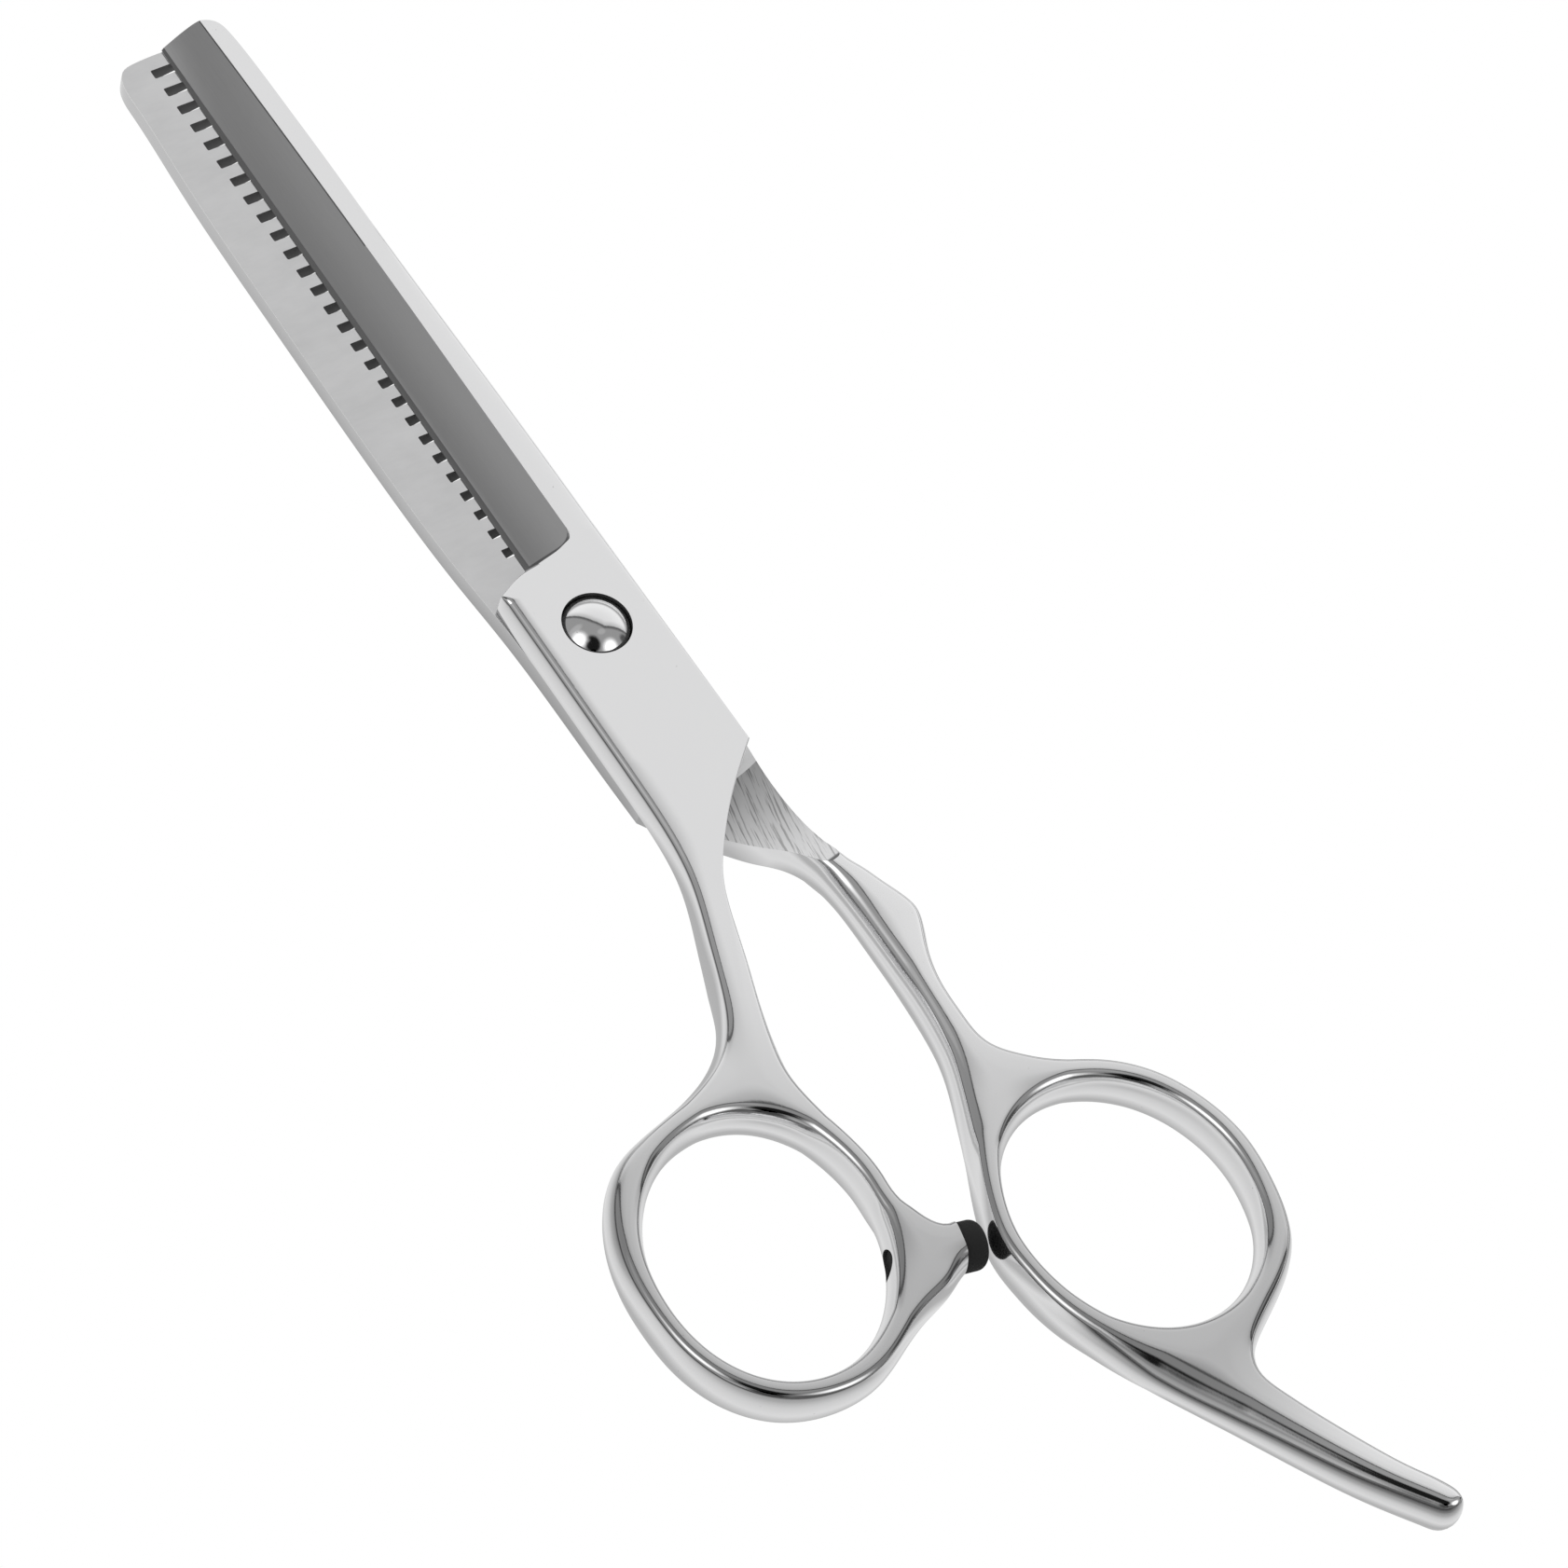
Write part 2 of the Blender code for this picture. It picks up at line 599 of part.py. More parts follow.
def taper_cutter(name, face_z, drop, group):
    """Thins a blade towards its tip from its outer face; drop is its sign and size."""
    bm = bmesh.new()
    ys = blade_stations(TIP_DROP_FROM_Y)
    clear_z = face_z + math.copysign(PAST, drop)
    surface = [(y, face_height(y, face_z, drop)) for y in ys]
    profile = [(ys[0], clear_z)] + surface + [(ys[-1], clear_z)]
    sides = [
        [bm.verts.new((x, y, z)) for y, z in profile]
        for x in (-2 * BLOCK_HALF_WIDTH, 2 * BLOCK_HALF_WIDTH)
    ]
    join_loops(bm, sides[0], sides[1])
    bm.faces.new(sides[0])
    bm.faces.new(sides[1])
    return finish_mesh(name, bm, group)


def grind_section(y, edge, ridge_x, face_z, drop, bevelled):
    """Across a blade: past its edge, up the small bevel, the hollow, past the ridge."""
    edge_x, edge_z = edge
    inward = math.copysign(1.0, ridge_x - edge_x)
    outward = math.copysign(1.0, drop)
    ridge = np.array([ridge_x, face_height(y, face_z, drop)])
    start = np.array([edge_x, edge_z])
    points = [start]
    if bevelled:
        bevel = np.array([inward * MICRO_BEVEL_WIDTH, outward * MICRO_BEVEL_HEIGHT])
        points.insert(0, start - 3 * bevel)
        start = start + bevel
        points[1] = start
    along = ridge - start
    length = np.linalg.norm(along)
    hollow = np.array([along[1], -along[0]]) / length
    if hollow[1] * outward > 0:
        hollow = -hollow
    for t in (1 / 6, 1 / 3, 1 / 2, 2 / 3, 5 / 6):
        points.append(start + t * along + 4 * t * (1 - t) * GRIND_SAGITTA * hollow)
    slope = along - 4 * GRIND_SAGITTA * hollow
    points.append(ridge)
    points.append(ridge + slope / np.linalg.norm(slope) * PAST)
    if not bevelled:
        points.insert(0, points[0] - (points[1] - points[0]) * PAST)
    top = max(outward * p[1] for p in points) + PAST
    points.append(np.array([points[-1][0], outward * top]))
    points.append(np.array([points[0][0], outward * top]))
    return points


def grind_cutter(name, edge, ridge_x, face_z, drop, bevelled, group):
    """The hollow bevel of a blade, a loft along it with a leaning shoulder at the heel."""
    bm = bmesh.new()
    outward = math.copysign(1.0, drop)
    loops = []
    for k, y in enumerate(blade_stations(GRIND_HEEL_Y)):
        section = grind_section(y, edge, ridge_x, face_z, drop, bevelled)
        loop = []
        for x, z in section:
            station = y
            if k == 0:
                depth = outward * (face_z - z) / FRONT_PLATE
                station += 0.2 * (x - edge[0]) - GRIND_SHOULDER * (1 - depth)
            loop.append(bm.verts.new((x, station, z)))
        loops.append(loop)
    for near, far in zip(loops, loops[1:]):
        join_loops(bm, near, far)
    for loop in (loops[0], loops[-1]):
        bmesh.ops.triangulate(bm, faces=[bm.faces.new(loop)])
    return finish_mesh(name, bm, group)


def tooth_cutter(group):
    """Every gap between the teeth, with rounded roots, and a notch in every tooth tip."""
    bm = bmesh.new()
    low, high = BACK_Z - PAST, REAR_RIDE_Z + PAST
    half = TOOTH_GAP_WIDTH / 2
    gaps = int((COMB_TIP_Y - TIP_LAND - FIRST_GAP_Y) / TOOTH_PITCH) + 1
    for k in range(gaps):
        y = FIRST_GAP_Y + k * TOOTH_PITCH
        root = ROOT_HEEL_X + (ROOT_TIP_X - ROOT_HEEL_X) * k / (gaps - 1)
        points = [(TEETH_HEEL_X + PAST, y - half), (TEETH_HEEL_X + PAST, y + half)]
        for side, start in ((1, 90), (-1, 180)):
            for turn in (0, 30, 60, 90):
                angle = math.radians(start + turn)
                cx, cy = root + ROOT_ROUND, y + side * (half - ROOT_ROUND)
                points.append((cx + ROOT_ROUND * math.cos(angle), cy + ROOT_ROUND * math.sin(angle)))
        add_prism(bm, points, low, high)
        if k:
            tip = TEETH_HEEL_X + (TEETH_TIP_X - TEETH_HEEL_X) * k / gaps
            add_notch(bm, tip, y - TOOTH_PITCH / 2, low, high)
    return finish_mesh("tooth_gap_cutter", bm, group)


def add_notch(bm, x, y, low, high):
    angles = np.radians(np.arange(0, 360, 45) + 22.5)
    points = [(x + NOTCH_RADIUS * math.cos(a), y + NOTCH_RADIUS * math.sin(a)) for a in angles]
    add_prism(bm, points, low, high)


# Pieces --------------------------------------------------------------------


def build_thumb_half(parts, cutters):
    """The plain half: cutting blade, block with the screw's recess, thumb ring, lug."""
    loops = [thumb_outline(), hole_outline(THUMB_HOLE, HOLE_ROUND)]
    half = rounded_plate("thumb_half", loops, BACK_Z, FRONT_Z, parts)
    ramp = THUMB_RAMP_START, THUMB_RAMP_END
    boolean(half, ride_relief("thumb_ride_relief", *ramp, FRONT_RIDE_Z, BACK_Z, cutters))
    boolean(half, taper_cutter("thumb_taper", FRONT_Z, THUMB_TIP_DROP, cutters))
    edge = (EDGE_X, FRONT_RIDE_Z)
    boolean(half, grind_cutter("thumb_grind", edge, RIDGE_X, FRONT_Z, THUMB_TIP_DROP, True, cutters))
    boolean(half, cylinder("head_recess", RECESS_RADIUS, RECESS_Z, FRONT_Z + PAST, cutters))
    bore = NECK_RADIUS + BUSH_WALL + 2 * RUNNING_GAP
    boolean(half, cylinder("bush_bore", bore, FRONT_RIDE_Z - PAST, FRONT_Z, cutters))
    side, end = LUG_HALF_WIDTH + PAST, LUG_X + PAST
    beyond_lug = [(LUG_X, LUG_Y - side), (end, LUG_Y - side), (end, LUG_Y + side), (LUG_X, LUG_Y + side)]
    boolean(half, prism("lug_face", beyond_lug, BACK_Z - PAST, FRONT_Z + PAST, cutters))
    stem_bore = BUMPER_STEM_RADIUS + RUNNING_GAP
    hole = cylinder("stem_bore", stem_bore, -(LUG_X + THUMB_OFFSET), PAST, cutters)
    place_on_lug(hole, 0.0)
    boolean(half, hole)
    finish(half, "polished_steel", STEEL)
    return half


def build_comb_half(parts, cutters):
    """The toothed half: comb blade, keyed ride plate, finger ring and tang."""
    loops = [comb_outline(), hole_outline(FINGER_HOLE, HOLE_ROUND)]
    half = rounded_plate("comb_half", loops, BACK_Z, FRONT_Z, parts)
    ramp = RAMP_START, RAMP_END
    boolean(half, ride_relief("comb_ride_relief", *ramp, REAR_RIDE_Z, FRONT_Z, cutters))
    boolean(half, taper_cutter("comb_taper", BACK_Z, -COMB_TIP_DROP, cutters))
    edge = (TEETH_HEEL_X, REAR_RIDE_Z - COMB_EDGE_THICKNESS)
    boolean(half, grind_cutter("comb_grind", edge, COMB_RIDGE_X, BACK_Z, -COMB_TIP_DROP, False, cutters))
    boolean(half, tooth_cutter(cutters))
    key = KEY_WIDTH / 2 + RUNNING_GAP
    square = [(-key, -key), (key, -key), (key, key), (-key, key)]
    boolean(half, prism("key_hole", square, BACK_Z - PAST, REAR_RIDE_Z + PAST, cutters))
    finish(half, "comb_steel", STEEL)
    return half


def build_pivot_screw(parts, cutters):
    """Dome head, round neck for the thumb half, square key and threaded end."""
    rim_z = FRONT_Z + HEAD_PROUD - HEAD_CROWN
    sphere = (HEAD_RADIUS**2 + HEAD_CROWN**2) / (2 * HEAD_CROWN)
    slope = math.asin(HEAD_RADIUS / sphere)
    dome = []
    for k in range(9):
        angle = slope * k / 8
        drop = sphere * (1 - math.cos(angle))
        dome.append((sphere * math.sin(angle), rim_z + HEAD_CROWN - drop))
    neck_z = REAR_RIDE_Z + SEAT_GAP
    profile = dome + [
        (HEAD_RADIUS, HEAD_BASE_Z),
        (NECK_RADIUS, HEAD_BASE_Z),
        (NECK_RADIUS, neck_z),
        (THREAD_RADIUS, neck_z),
        (THREAD_RADIUS, THREAD_CHAMFER),
        (THREAD_RADIUS - THREAD_CHAMFER, 0),
        (0, 0),
    ]
    screw = turned("pivot_screw", profile, parts)
    half = KEY_WIDTH / 2
    square = [(-half, -half), (half, -half), (half, half), (-half, half)]
    key = prism("screw_key", square, BACK_Z + SEAT_GAP, neck_z + SEAT_GAP, cutters)
    boolean(screw, key, "UNION")
    finish(screw, "screw_steel", STEEL)
    return screw


def ring_profile(inner, outer, low, high):
    return [(outer, high), (outer, low), (inner, low), (inner, high)]


def build_pivot_rings(parts):
    """Nylon washer under the head, nylon bush in the block, spring washer at the back."""
    inner = NECK_RADIUS + RUNNING_GAP
    washer_low = RECESS_Z + SEAT_GAP
    washer = ring_profile(inner, HEAD_RADIUS, washer_low, washer_low + HEAD_WASHER)
    head_washer = turned("head_washer", washer, parts)
    finish(head_washer, "washer_nylon", NYLON)
    sleeve = ring_profile(inner, inner + BUSH_WALL, FRONT_RIDE_Z, RECESS_Z)
    bush = turned("pivot_bush", sleeve, parts)
    finish(bush, "bush_nylon", NYLON)
    low, high = NUT_THICKNESS + SEAT_GAP, NUT_THICKNESS + SEAT_GAP + SPRING_HEIGHT
    bore = THREAD_RADIUS + RUNNING_GAP
    cone = [
        (SPRING_RADIUS, high),
        (SPRING_RADIUS, high - SPRING_THICKNESS),
        (bore, low),
        (bore, low + SPRING_THICKNESS),
    ]
    spring = turned("spring_washer", cone, parts)
    finish(spring, "spring_steel", STEEL)
    return [head_washer, bush, spring]


def build_tension_nut(parts, cutters):
    """The round nut at the back, with a slot each side of the screw for its key."""
    chamfered = NUT_RADIUS - NUT_CHAMFER
    bore = THREAD_RADIUS + RUNNING_GAP
    profile = [
        (NUT_RADIUS, NUT_THICKNESS),
        (NUT_RADIUS, NUT_CHAMFER),
        (chamfered, 0),
        (bore, 0),
        (bore, NUT_THICKNESS),
    ]
    nut = turned("tension_nut", profile, parts)
    half, reach = NUT_SLOT_WIDTH / 2, NUT_RADIUS + PAST
    slot = [(-reach, -half), (reach, -half), (reach, half), (-reach, half)]
    boolean(nut, prism("key_slot", slot, -PAST, NUT_SLOT_DEPTH, cutters))
    finish(nut, "nut_steel", STEEL)
    return nut


def place_on_lug(piece, gap):
    """Stands a piece that was turned about Z on the lug's end face, pointing to +X."""
    turn = Matrix.Rotation(math.pi / 2, 4, "Y")
    seat = Matrix.Translation(((LUG_X + gap) * MM, LUG_Y * MM, BUMPER_Z * MM))
    piece.matrix_world = seat @ turn


def build_bumper(parts):
    """The rubber buffer between the rings: a domed head on a stem in the lug."""
    corner = []
    for k in range(5):
        angle = math.pi / 2 * k / 4
        radius = BUMPER_RADIUS - BUMPER_ROUND * (1 - math.sin(angle))
        corner.append((radius, BUMPER_LENGTH - BUMPER_ROUND * (1 - math.cos(angle))))
    profile = [(0, BUMPER_LENGTH + 0.1)] + corner
    profile += [
        (BUMPER_RADIUS, 0),
        (BUMPER_STEM_RADIUS, 0),
        (BUMPER_STEM_RADIUS, -BUMPER_STEM_LENGTH),
        (0, -BUMPER_STEM_LENGTH),
    ]
    bumper = turned("rubber_bumper", profile, parts)
    place_on_lug(bumper, SEAT_GAP)
    finish(bumper, "rubber", RUBBER)
    return bumper


def hold(piece, carrier):
    piece.parent = carrier
    piece.matrix_parent_inverse = carrier.matrix_world.inverted()


def main():
    for old in list(bpy.data.objects):
        bpy.data.objects.remove(old, do_unlink=True)
    parts = collection("thinning_shears")
    cutters = collection("cutters")
    comb = build_comb_half(parts, cutters)
    thumb = build_thumb_half(parts, cutters)
    head_washer, bush, spring = build_pivot_rings(parts)
    hold(build_pivot_screw(parts, cutters), comb)
    hold(spring, comb)
    hold(build_tension_nut(parts, cutters), comb)
    hold(thumb, comb)
    hold(head_washer, thumb)
    hold(bush, thumb)
    hold(build_bumper(parts), thumb)


main()
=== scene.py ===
"""Thinning shears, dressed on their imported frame.

Sizes are in millimetres up to the helpers that make meshes. The pivot axis is the
Z axis, +Y runs to the blade tips, +X to the finger ring, and Z = 0 is the bench.
"""

import math

import bmesh
import bpy
import numpy as np
from mathutils import Matrix, Vector


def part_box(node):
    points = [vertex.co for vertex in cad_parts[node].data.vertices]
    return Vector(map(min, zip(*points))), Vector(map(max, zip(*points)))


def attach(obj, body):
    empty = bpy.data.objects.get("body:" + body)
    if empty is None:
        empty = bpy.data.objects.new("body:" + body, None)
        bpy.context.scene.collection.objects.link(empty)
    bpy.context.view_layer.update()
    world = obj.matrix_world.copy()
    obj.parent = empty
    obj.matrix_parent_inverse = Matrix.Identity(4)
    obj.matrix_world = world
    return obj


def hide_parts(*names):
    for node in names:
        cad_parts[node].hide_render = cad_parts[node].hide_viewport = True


bl_info = {
    "name": "Thinning Shears",
    "version": (1, 0, 0),
    "blender": (4, 5, 0),
    "location": "View3D > Sidebar > Shears",
    "description": "Builds thinning shears with polished and ground steel finishes",
    "category": "Add Mesh",
}

MM = 0.001
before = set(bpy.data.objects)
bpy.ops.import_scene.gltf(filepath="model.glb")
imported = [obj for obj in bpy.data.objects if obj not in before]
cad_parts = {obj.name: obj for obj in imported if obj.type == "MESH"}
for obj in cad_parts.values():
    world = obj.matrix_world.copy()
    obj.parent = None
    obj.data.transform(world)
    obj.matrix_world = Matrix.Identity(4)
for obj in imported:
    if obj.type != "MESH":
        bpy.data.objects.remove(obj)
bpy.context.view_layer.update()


def node_box(node):
    """A node's lowest and highest corners, in millimetres."""
    low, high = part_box(node)
    return [v / MM for v in low], [v / MM for v in high]


# Boxes and heights of the frame; lengths are in millimetres where nothing else is said
COMB_HIGH = node_box("comb_half")[1]
THUMB_LOW, THUMB_HIGH = node_box("thumb_half")
SCREW_HIGH = node_box("pivot_screw")[1]
NUT_HIGH = node_box("tension_nut")[1]
SPRING_LOW, SPRING_HIGH = node_box("spring_washer")
BUSH_LOW, BUSH_HIGH = node_box("pivot_bush")
WASHER_LOW, WASHER_HIGH = node_box("head_washer")
BUMPER_LOW, BUMPER_HIGH = node_box("rubber_bumper")
BACK_Z = THUMB_LOW[2]
FRONT_Z = THUMB_HIGH[2]
FRONT_RIDE_Z = BUSH_LOW[2]
COMB_RIDE_GAP = 0.3
REAR_RIDE_Z = FRONT_RIDE_Z - COMB_RIDE_GAP
VISIBLE_GAP = 0.04
THUMB_RIDE_Z = REAR_RIDE_Z + VISIBLE_GAP
SEAT_GAP = 0.1
RUNNING_GAP = 0.08

# The halves in plan
BLADE_LENGTH = 70.9
THUMB_REACH = 57.8
FINGER_REACH = 67.9
TANG_LENGTH = 36.3
BLOCK_HALF_WIDTH = 6.05
PLATE_SIDE_X = 6.4
BLOCK_TOP_Y = 7.35
BLOCK_END_Y = -16.0
SPINE_X = THUMB_HIGH[0]
EDGE_X = -1.45
COMB_TIP_Y = COMB_HIGH[1]
COMB_SPINE_X = -7.1
RAMP_START, RAMP_END = 17.8, 29.6
THUMB_RAMP_START, THUMB_RAMP_END = 22.5, 37.0
RAMP_OVERRUN = 0.4  # of the ramp's run, past its end

# Edge radii of the plates
CRISP = 0.15
TIP_ROUND = 0.45
BLOCK_ROUND = 0.75

# Finger holes: centre, half sizes and lean of the long axis to the right, degrees
THUMB_HOLE = ((-19.9, -THUMB_REACH), (10.05, 12.2), 19.0)
FINGER_HOLE = ((10.0, -FINGER_REACH), (10.3, 11.7), -4.0)

# Grinding and teeth; the heel leans back across the blade and up its shoulder
GRIND_HEEL_Y = 8.5
GRIND_SHOULDER = 1.15
HEEL_SLANT = 0.2
HEEL_ROUND = 1.3
# Painted shade lines round the heel and along the ridge: their widths, and where the ridge line starts
HEEL_LINE = 0.15
RIDGE_LINE = 0.03  # of the way across the hollow
RIDGE_LINE_FROM_Y = 42.0
RIDGE_X = 2.9
MICRO_BEVEL = (0.4, 0.27)
GRIND_SAGITTA = 0.15
THUMB_TIP_DROP = 1.1
COMB_TIP_DROP = 0.6
TIP_DROP_FROM_Y = 30.0
COMB_RIDGE_X = -2.9
COMB_EDGE_THICKNESS = 1.1
TOOTH_GAPS = 27
TOOTH_PITCH = 2.208
TOOTH_GAP_WIDTH = 0.95
FIRST_GAP_Y = 10.75
ROOT_HEEL_X, ROOT_TIP_X = -2.25, -3.35
ROOT_ROUND = 0.13
TEETH_HEEL_X, TEETH_TIP_X = 1.95, 1.3
NOTCH_RADIUS = 0.3

# Pivot
HEAD_CROWN = 1.3
HEAD_RIM = (0.02, 0.03)  # inward and down
RECESS_CLEARANCE = 0.12
BUSH_WALL = 0.4
KEY_HALF = 1.45
THREAD_RADIUS = 1.4
THREAD_PITCH = 0.3
THREAD_DEPTH = 0.14
THREAD_LOW_Z = 0.6
THREAD_CHAMFER = 0.25
RING_EDGE = 0.05
SPRING_THICKNESS = 0.35
NUT_EDGE = 0.1
NUT_BORE_CHAMFER = 0.15
NUT_CHAMFER = 0.3
NUT_SLOT_HALF = 0.6
NUT_SLOT_DEPTH = 0.7

# Bumper, which leans towards the rings' ends, and the lug that it stands on
BUMPER_LENGTH = 2.45  # with its crown
BUMPER_CROWN = 0.22
BUMPER_TOP = (0.5, 0.04)  # where its end begins to fall: radius and drop
BUMPER_FOOT = (0.05, 0.15)  # chamfer: inward and up
BUMPER_ROUND = 0.95
BUMPER_SHIFT = (0.05, 0.1)
LUG_LEAN = 12.0  # degrees
STEM_RADIUS = 1.2
STEM_LENGTH = 5.8
BORE_CLEARANCE = 0.12
LUG_X = BUMPER_HIGH[0] - BUMPER_LENGTH - SEAT_GAP + BUMPER_SHIFT[0]
LUG_Y = (BUMPER_LOW[1] + BUMPER_HIGH[1]) / 2 + BUMPER_SHIFT[1]
LUG_HALF_WIDTH = 2.05

# Fineness of the meshes
SAMPLE_STEP = 0.5
ROUND_STEPS = 12
WALL_STEPS = 5
RAMP_STEPS = 16
SWEEP_STEP = 3  # degrees
GRIND_STATIONS = 33
SECTION_STEPS = 12
ROOT_STEP = 15  # degrees
HOLE_FACETS = 160
PIN_FACETS = 128
STEM_FACETS = 64
BUMPER_FACETS = 96
DOME_STEPS = 24
PAST = 2.0  # how far a cutter runs beyond what it cuts
HOLD = 0.02  # flat strip inside the rim of a crown
TINY = 1e-9
MERGE = 0.001  # vertices closer than this are joined

# Rounding of the plates: the slack arc's share, by edge radius squared, and its most
SLACK = 0.2
SLACK_LIMIT = 0.28

# Crown of the faces: tilt at its rim in degrees, and width for an edge radius of 1
CROWN_TILT = 7.0
CROWN_WIDTH = 2.2
CROWN_STEPS = 5
ROUND_SHARE = 0.78  # of the room to the middle line, for the rounding
ROOM_SHARE = 0.94  # and for the crown with it
SMOOTHING = 12

# Tones of the steel, as shares of its colour, and where they fade, in metres. Painted shade:
# the handles' faces darken along a way from the pivot and lighten again down the finger rest,
# and the comb half is painted darker below its ride face beside the block, as the block's shade.
X_WAY, Y_WAY, Z_WAY = (1.0, 0.0, 0.0), (0.0, 1.0, 0.0), (0.0, 0.0, 1.0)
HANDLE_WAY = (-0.45, -0.9, 0.0)
HANDLE_FADE = (0.028, 0.066)
HANDLE_SHADE_TONE = 0.66
FACE_UP = (0.3, 0.85)
REST_FADE = (-0.098, -0.083)
SHADE_DEPTH = 0.1 * MM
SHADE_END = (-0.020, -0.014)
SHADE_TONE = 0.66
TIP_FADE = (0.03, 0.07)
GROUND_LINES = (9000.0, 150.0, 9000.0)
BRUSHED_LINES = (500.0, 1600.0, 500.0)
TURNED_LINES = (2500.0, 2500.0, 9000.0)

# Studio, on a flat chart of the sky: degrees from overhead, along X and along Y
OVERHEAD = 0.000001  # keeps the chart defined straight overhead
# Sides of the tent: a point on each, and the way into the tent from it
TENT_SIDES = (
    ((8.0, 24.0), (0.894, 0.447)),
    ((8.0, 24.0), (0.8, 0.6)),
    ((26.0, 0.0), (0.268, 0.963)),
)
TENT_EDGE = (-1.5, 1.5)
TENT_RISE = 0.27
TENT_RISE_WIDTH = 16.0
TENT_LOW_RISE = 0.14
TENT_LOW = (35.0, 85.0)
ROOM_LEVEL = 0.33
SEAM = (-9.0, -2.5)
SEAM_DARK = 0.7
# Centre, size, share of the core and change of level
LOBES = (
    ((-21.0, -29.0), (23.0, 27.0), 0.62, -0.32),
    ((-38.0, -58.0), (24.0, 20.0), 0.5, -0.26),
    ((-36.0, 28.0), (24.0, 12.0), 0.5, 0.12),
    ((-27.0, -14.0), (8.0, 7.0), 0.3, 0.14),
    ((12.0, -10.0), (13.0, 9.0), 0.5, 0.1),
    ((-64.0, -40.0), (18.0, 18.0), 0.4, 0.14),
    ((68.0, -32.0), (18.0, 14.0), 0.4, -0.24),
    ((0.0, -70.0), (40.0, 14.0), 0.5, -0.22),
)
SOFTBOXES = (((-45.0, 0.0), (27.0, 29.0)), ((22.0, -51.0), (29.0, 27.0)))
HORIZON_DARK = 0.6
HORIZON_BELT = (77.0, 86.0)

# Light on the table in mirror images, by distance from the shears, which are simplified
# to bars (end, end, half width) and rings
POOL_REACH = 150.0
POOL_LEVELS = ((0, 0.5), (3, 0.8), (7, 0.7), (13, 0.45), (30, 0.22), (75, 0.1), (150, 0.05))
BARS = (
    ((0.0, 69.0), (0.0, -18.0), 6.5),
    ((-5.0, -18.0), (-13.0, -42.0), 3.0),
    ((6.0, -18.0), (6.0, -55.0), 2.5),
    ((6.0, -84.0), (18.0, -103.0), 2.2),
)
RING_HALF_BAND = 1.2
FAR_WAY = (0.9, 0.45, 0.0)  # towards the side where the tent lights the table
FAR_SIDE = (0.006, 0.030)  # metres
FAR_LEVEL = 0.9
TABLE_HALF_SIZE = 3000.0
TABLE_DROP = 0.2
TABLE_ROUGHNESS = 0.8

# Camera: metres, and millimetres for the lens
CAMERA_PLACE = (-0.2827, -0.2611, 0.5315)
CAMERA_RIGHT = (0.8182, -0.5377, 0.2037)
CAMERA_BACK = (-0.4473, -0.3726, 0.8131)
LENS = 175.57
SENSOR_WIDTH = 36.0
CLIP_START = 0.01


class ShearsForm(bpy.types.PropertyGroup):
    """Edge radii of the forged halves, in millimetres."""

    side_round: bpy.props.FloatProperty(
        name="Handle rounding",
        description="Edge radius of the rings and shanks, mm",
        default=1.15,
        min=0.3,
        max=2.0,
    )
    shank_round: bpy.props.FloatProperty(
        name="Shank rounding",
        description="Edge radius on the inner side of the comb shank, mm",
        default=1.4,
        min=0.3,
        max=2.2,
    )
    tang_round: bpy.props.FloatProperty(
        name="Tang rounding",
        description="Edge radius of the finger rest, mm",
        default=2.0,
        min=0.5,
        max=2.3,
    )
    hole_round: bpy.props.FloatProperty(
        name="Hole rounding",
        description="Edge radius inside the finger holes, mm",
        default=1.2,
        min=0.3,
        max=2.0,
    )


class ShearsFinish(bpy.types.PropertyGroup):
    """Colours and gloss of the steel, nylon and rubber."""

    steel: bpy.props.FloatVectorProperty(
        name="Steel",
        description="Reflected colour of polished steel",
        default=(0.86, 0.86, 0.865),
        min=0,
        max=1,
        subtype="COLOR",
    )
    polish: bpy.props.FloatProperty(
        name="Polish",
        description="Roughness of the polished faces",
        default=0.06,
        min=0.0,
        max=1.0,
        subtype="FACTOR",
    )
    satin: bpy.props.FloatProperty(
        name="Satin",
        description="Roughness of the hollow-ground faces",
        default=0.3,
        min=0.0,
        max=1.0,
        subtype="FACTOR",
    )
    rubber: bpy.props.FloatVectorProperty(
        name="Rubber",
        description="Colour of the bumper",
        default=(0.044, 0.044, 0.045),
        min=0,
        max=1,
        subtype="COLOR",
    )
    nylon: bpy.props.FloatVectorProperty(
        name="Nylon",
        description="Colour of the washer and bush",
        default=(0.75, 0.75, 0.72),
        min=0,
        max=1,
        subtype="COLOR",
    )


class ShearsStudio(bpy.types.PropertyGroup):
    """Table and light."""

    tent: bpy.props.FloatProperty(
        name="Light tent",
        description="Brightness of the tent on the far side",
        default=0.82,
        min=0.0,
        max=5.0,
    )
    softbox: bpy.props.FloatProperty(
        name="Softboxes",
        description="Brightness of the two softboxes",
        default=1.9,
        min=0.0,
        max=20.0,
    )
    floor: bpy.props.FloatVectorProperty(
        name="Floor",
        description="Colour of the table",
        default=(0.9, 0.9, 0.9),
        min=0,
        max=1,
        subtype="COLOR",
    )


# Plan outlines -------------------------------------------------------------


def ring_node(hole, station, band, edge_radius):
    """A node outside a finger hole: station in degrees round it, band outward."""
    (cx, cy), (half_width, half_length), lean = hole
    across = np.array([math.cos(math.radians(lean)), -math.sin(math.radians(lean))])
    along = np.array([-across[1], across[0]])
    c, s = math.cos(math.radians(station)), math.sin(math.radians(station))
    point = np.array([cx, cy]) + half_width * c * across + half_length * s * along
    outward = c / half_width * across + s / half_length * along
    x, y = point + band * outward / np.linalg.norm(outward)
    return x, y, edge_radius


def with_radius(places, edge_radius):
    """The places, each with its own edge radius, or else the one that they share."""
    return [(*place, edge_radius)[:3] for place in places]


def nodes_from(x, y, edge_radius, *places):
    """Nodes by their offsets from a point in plan."""
    return [(x + across, y + up, edge) for across, up, edge in with_radius(places, edge_radius)]


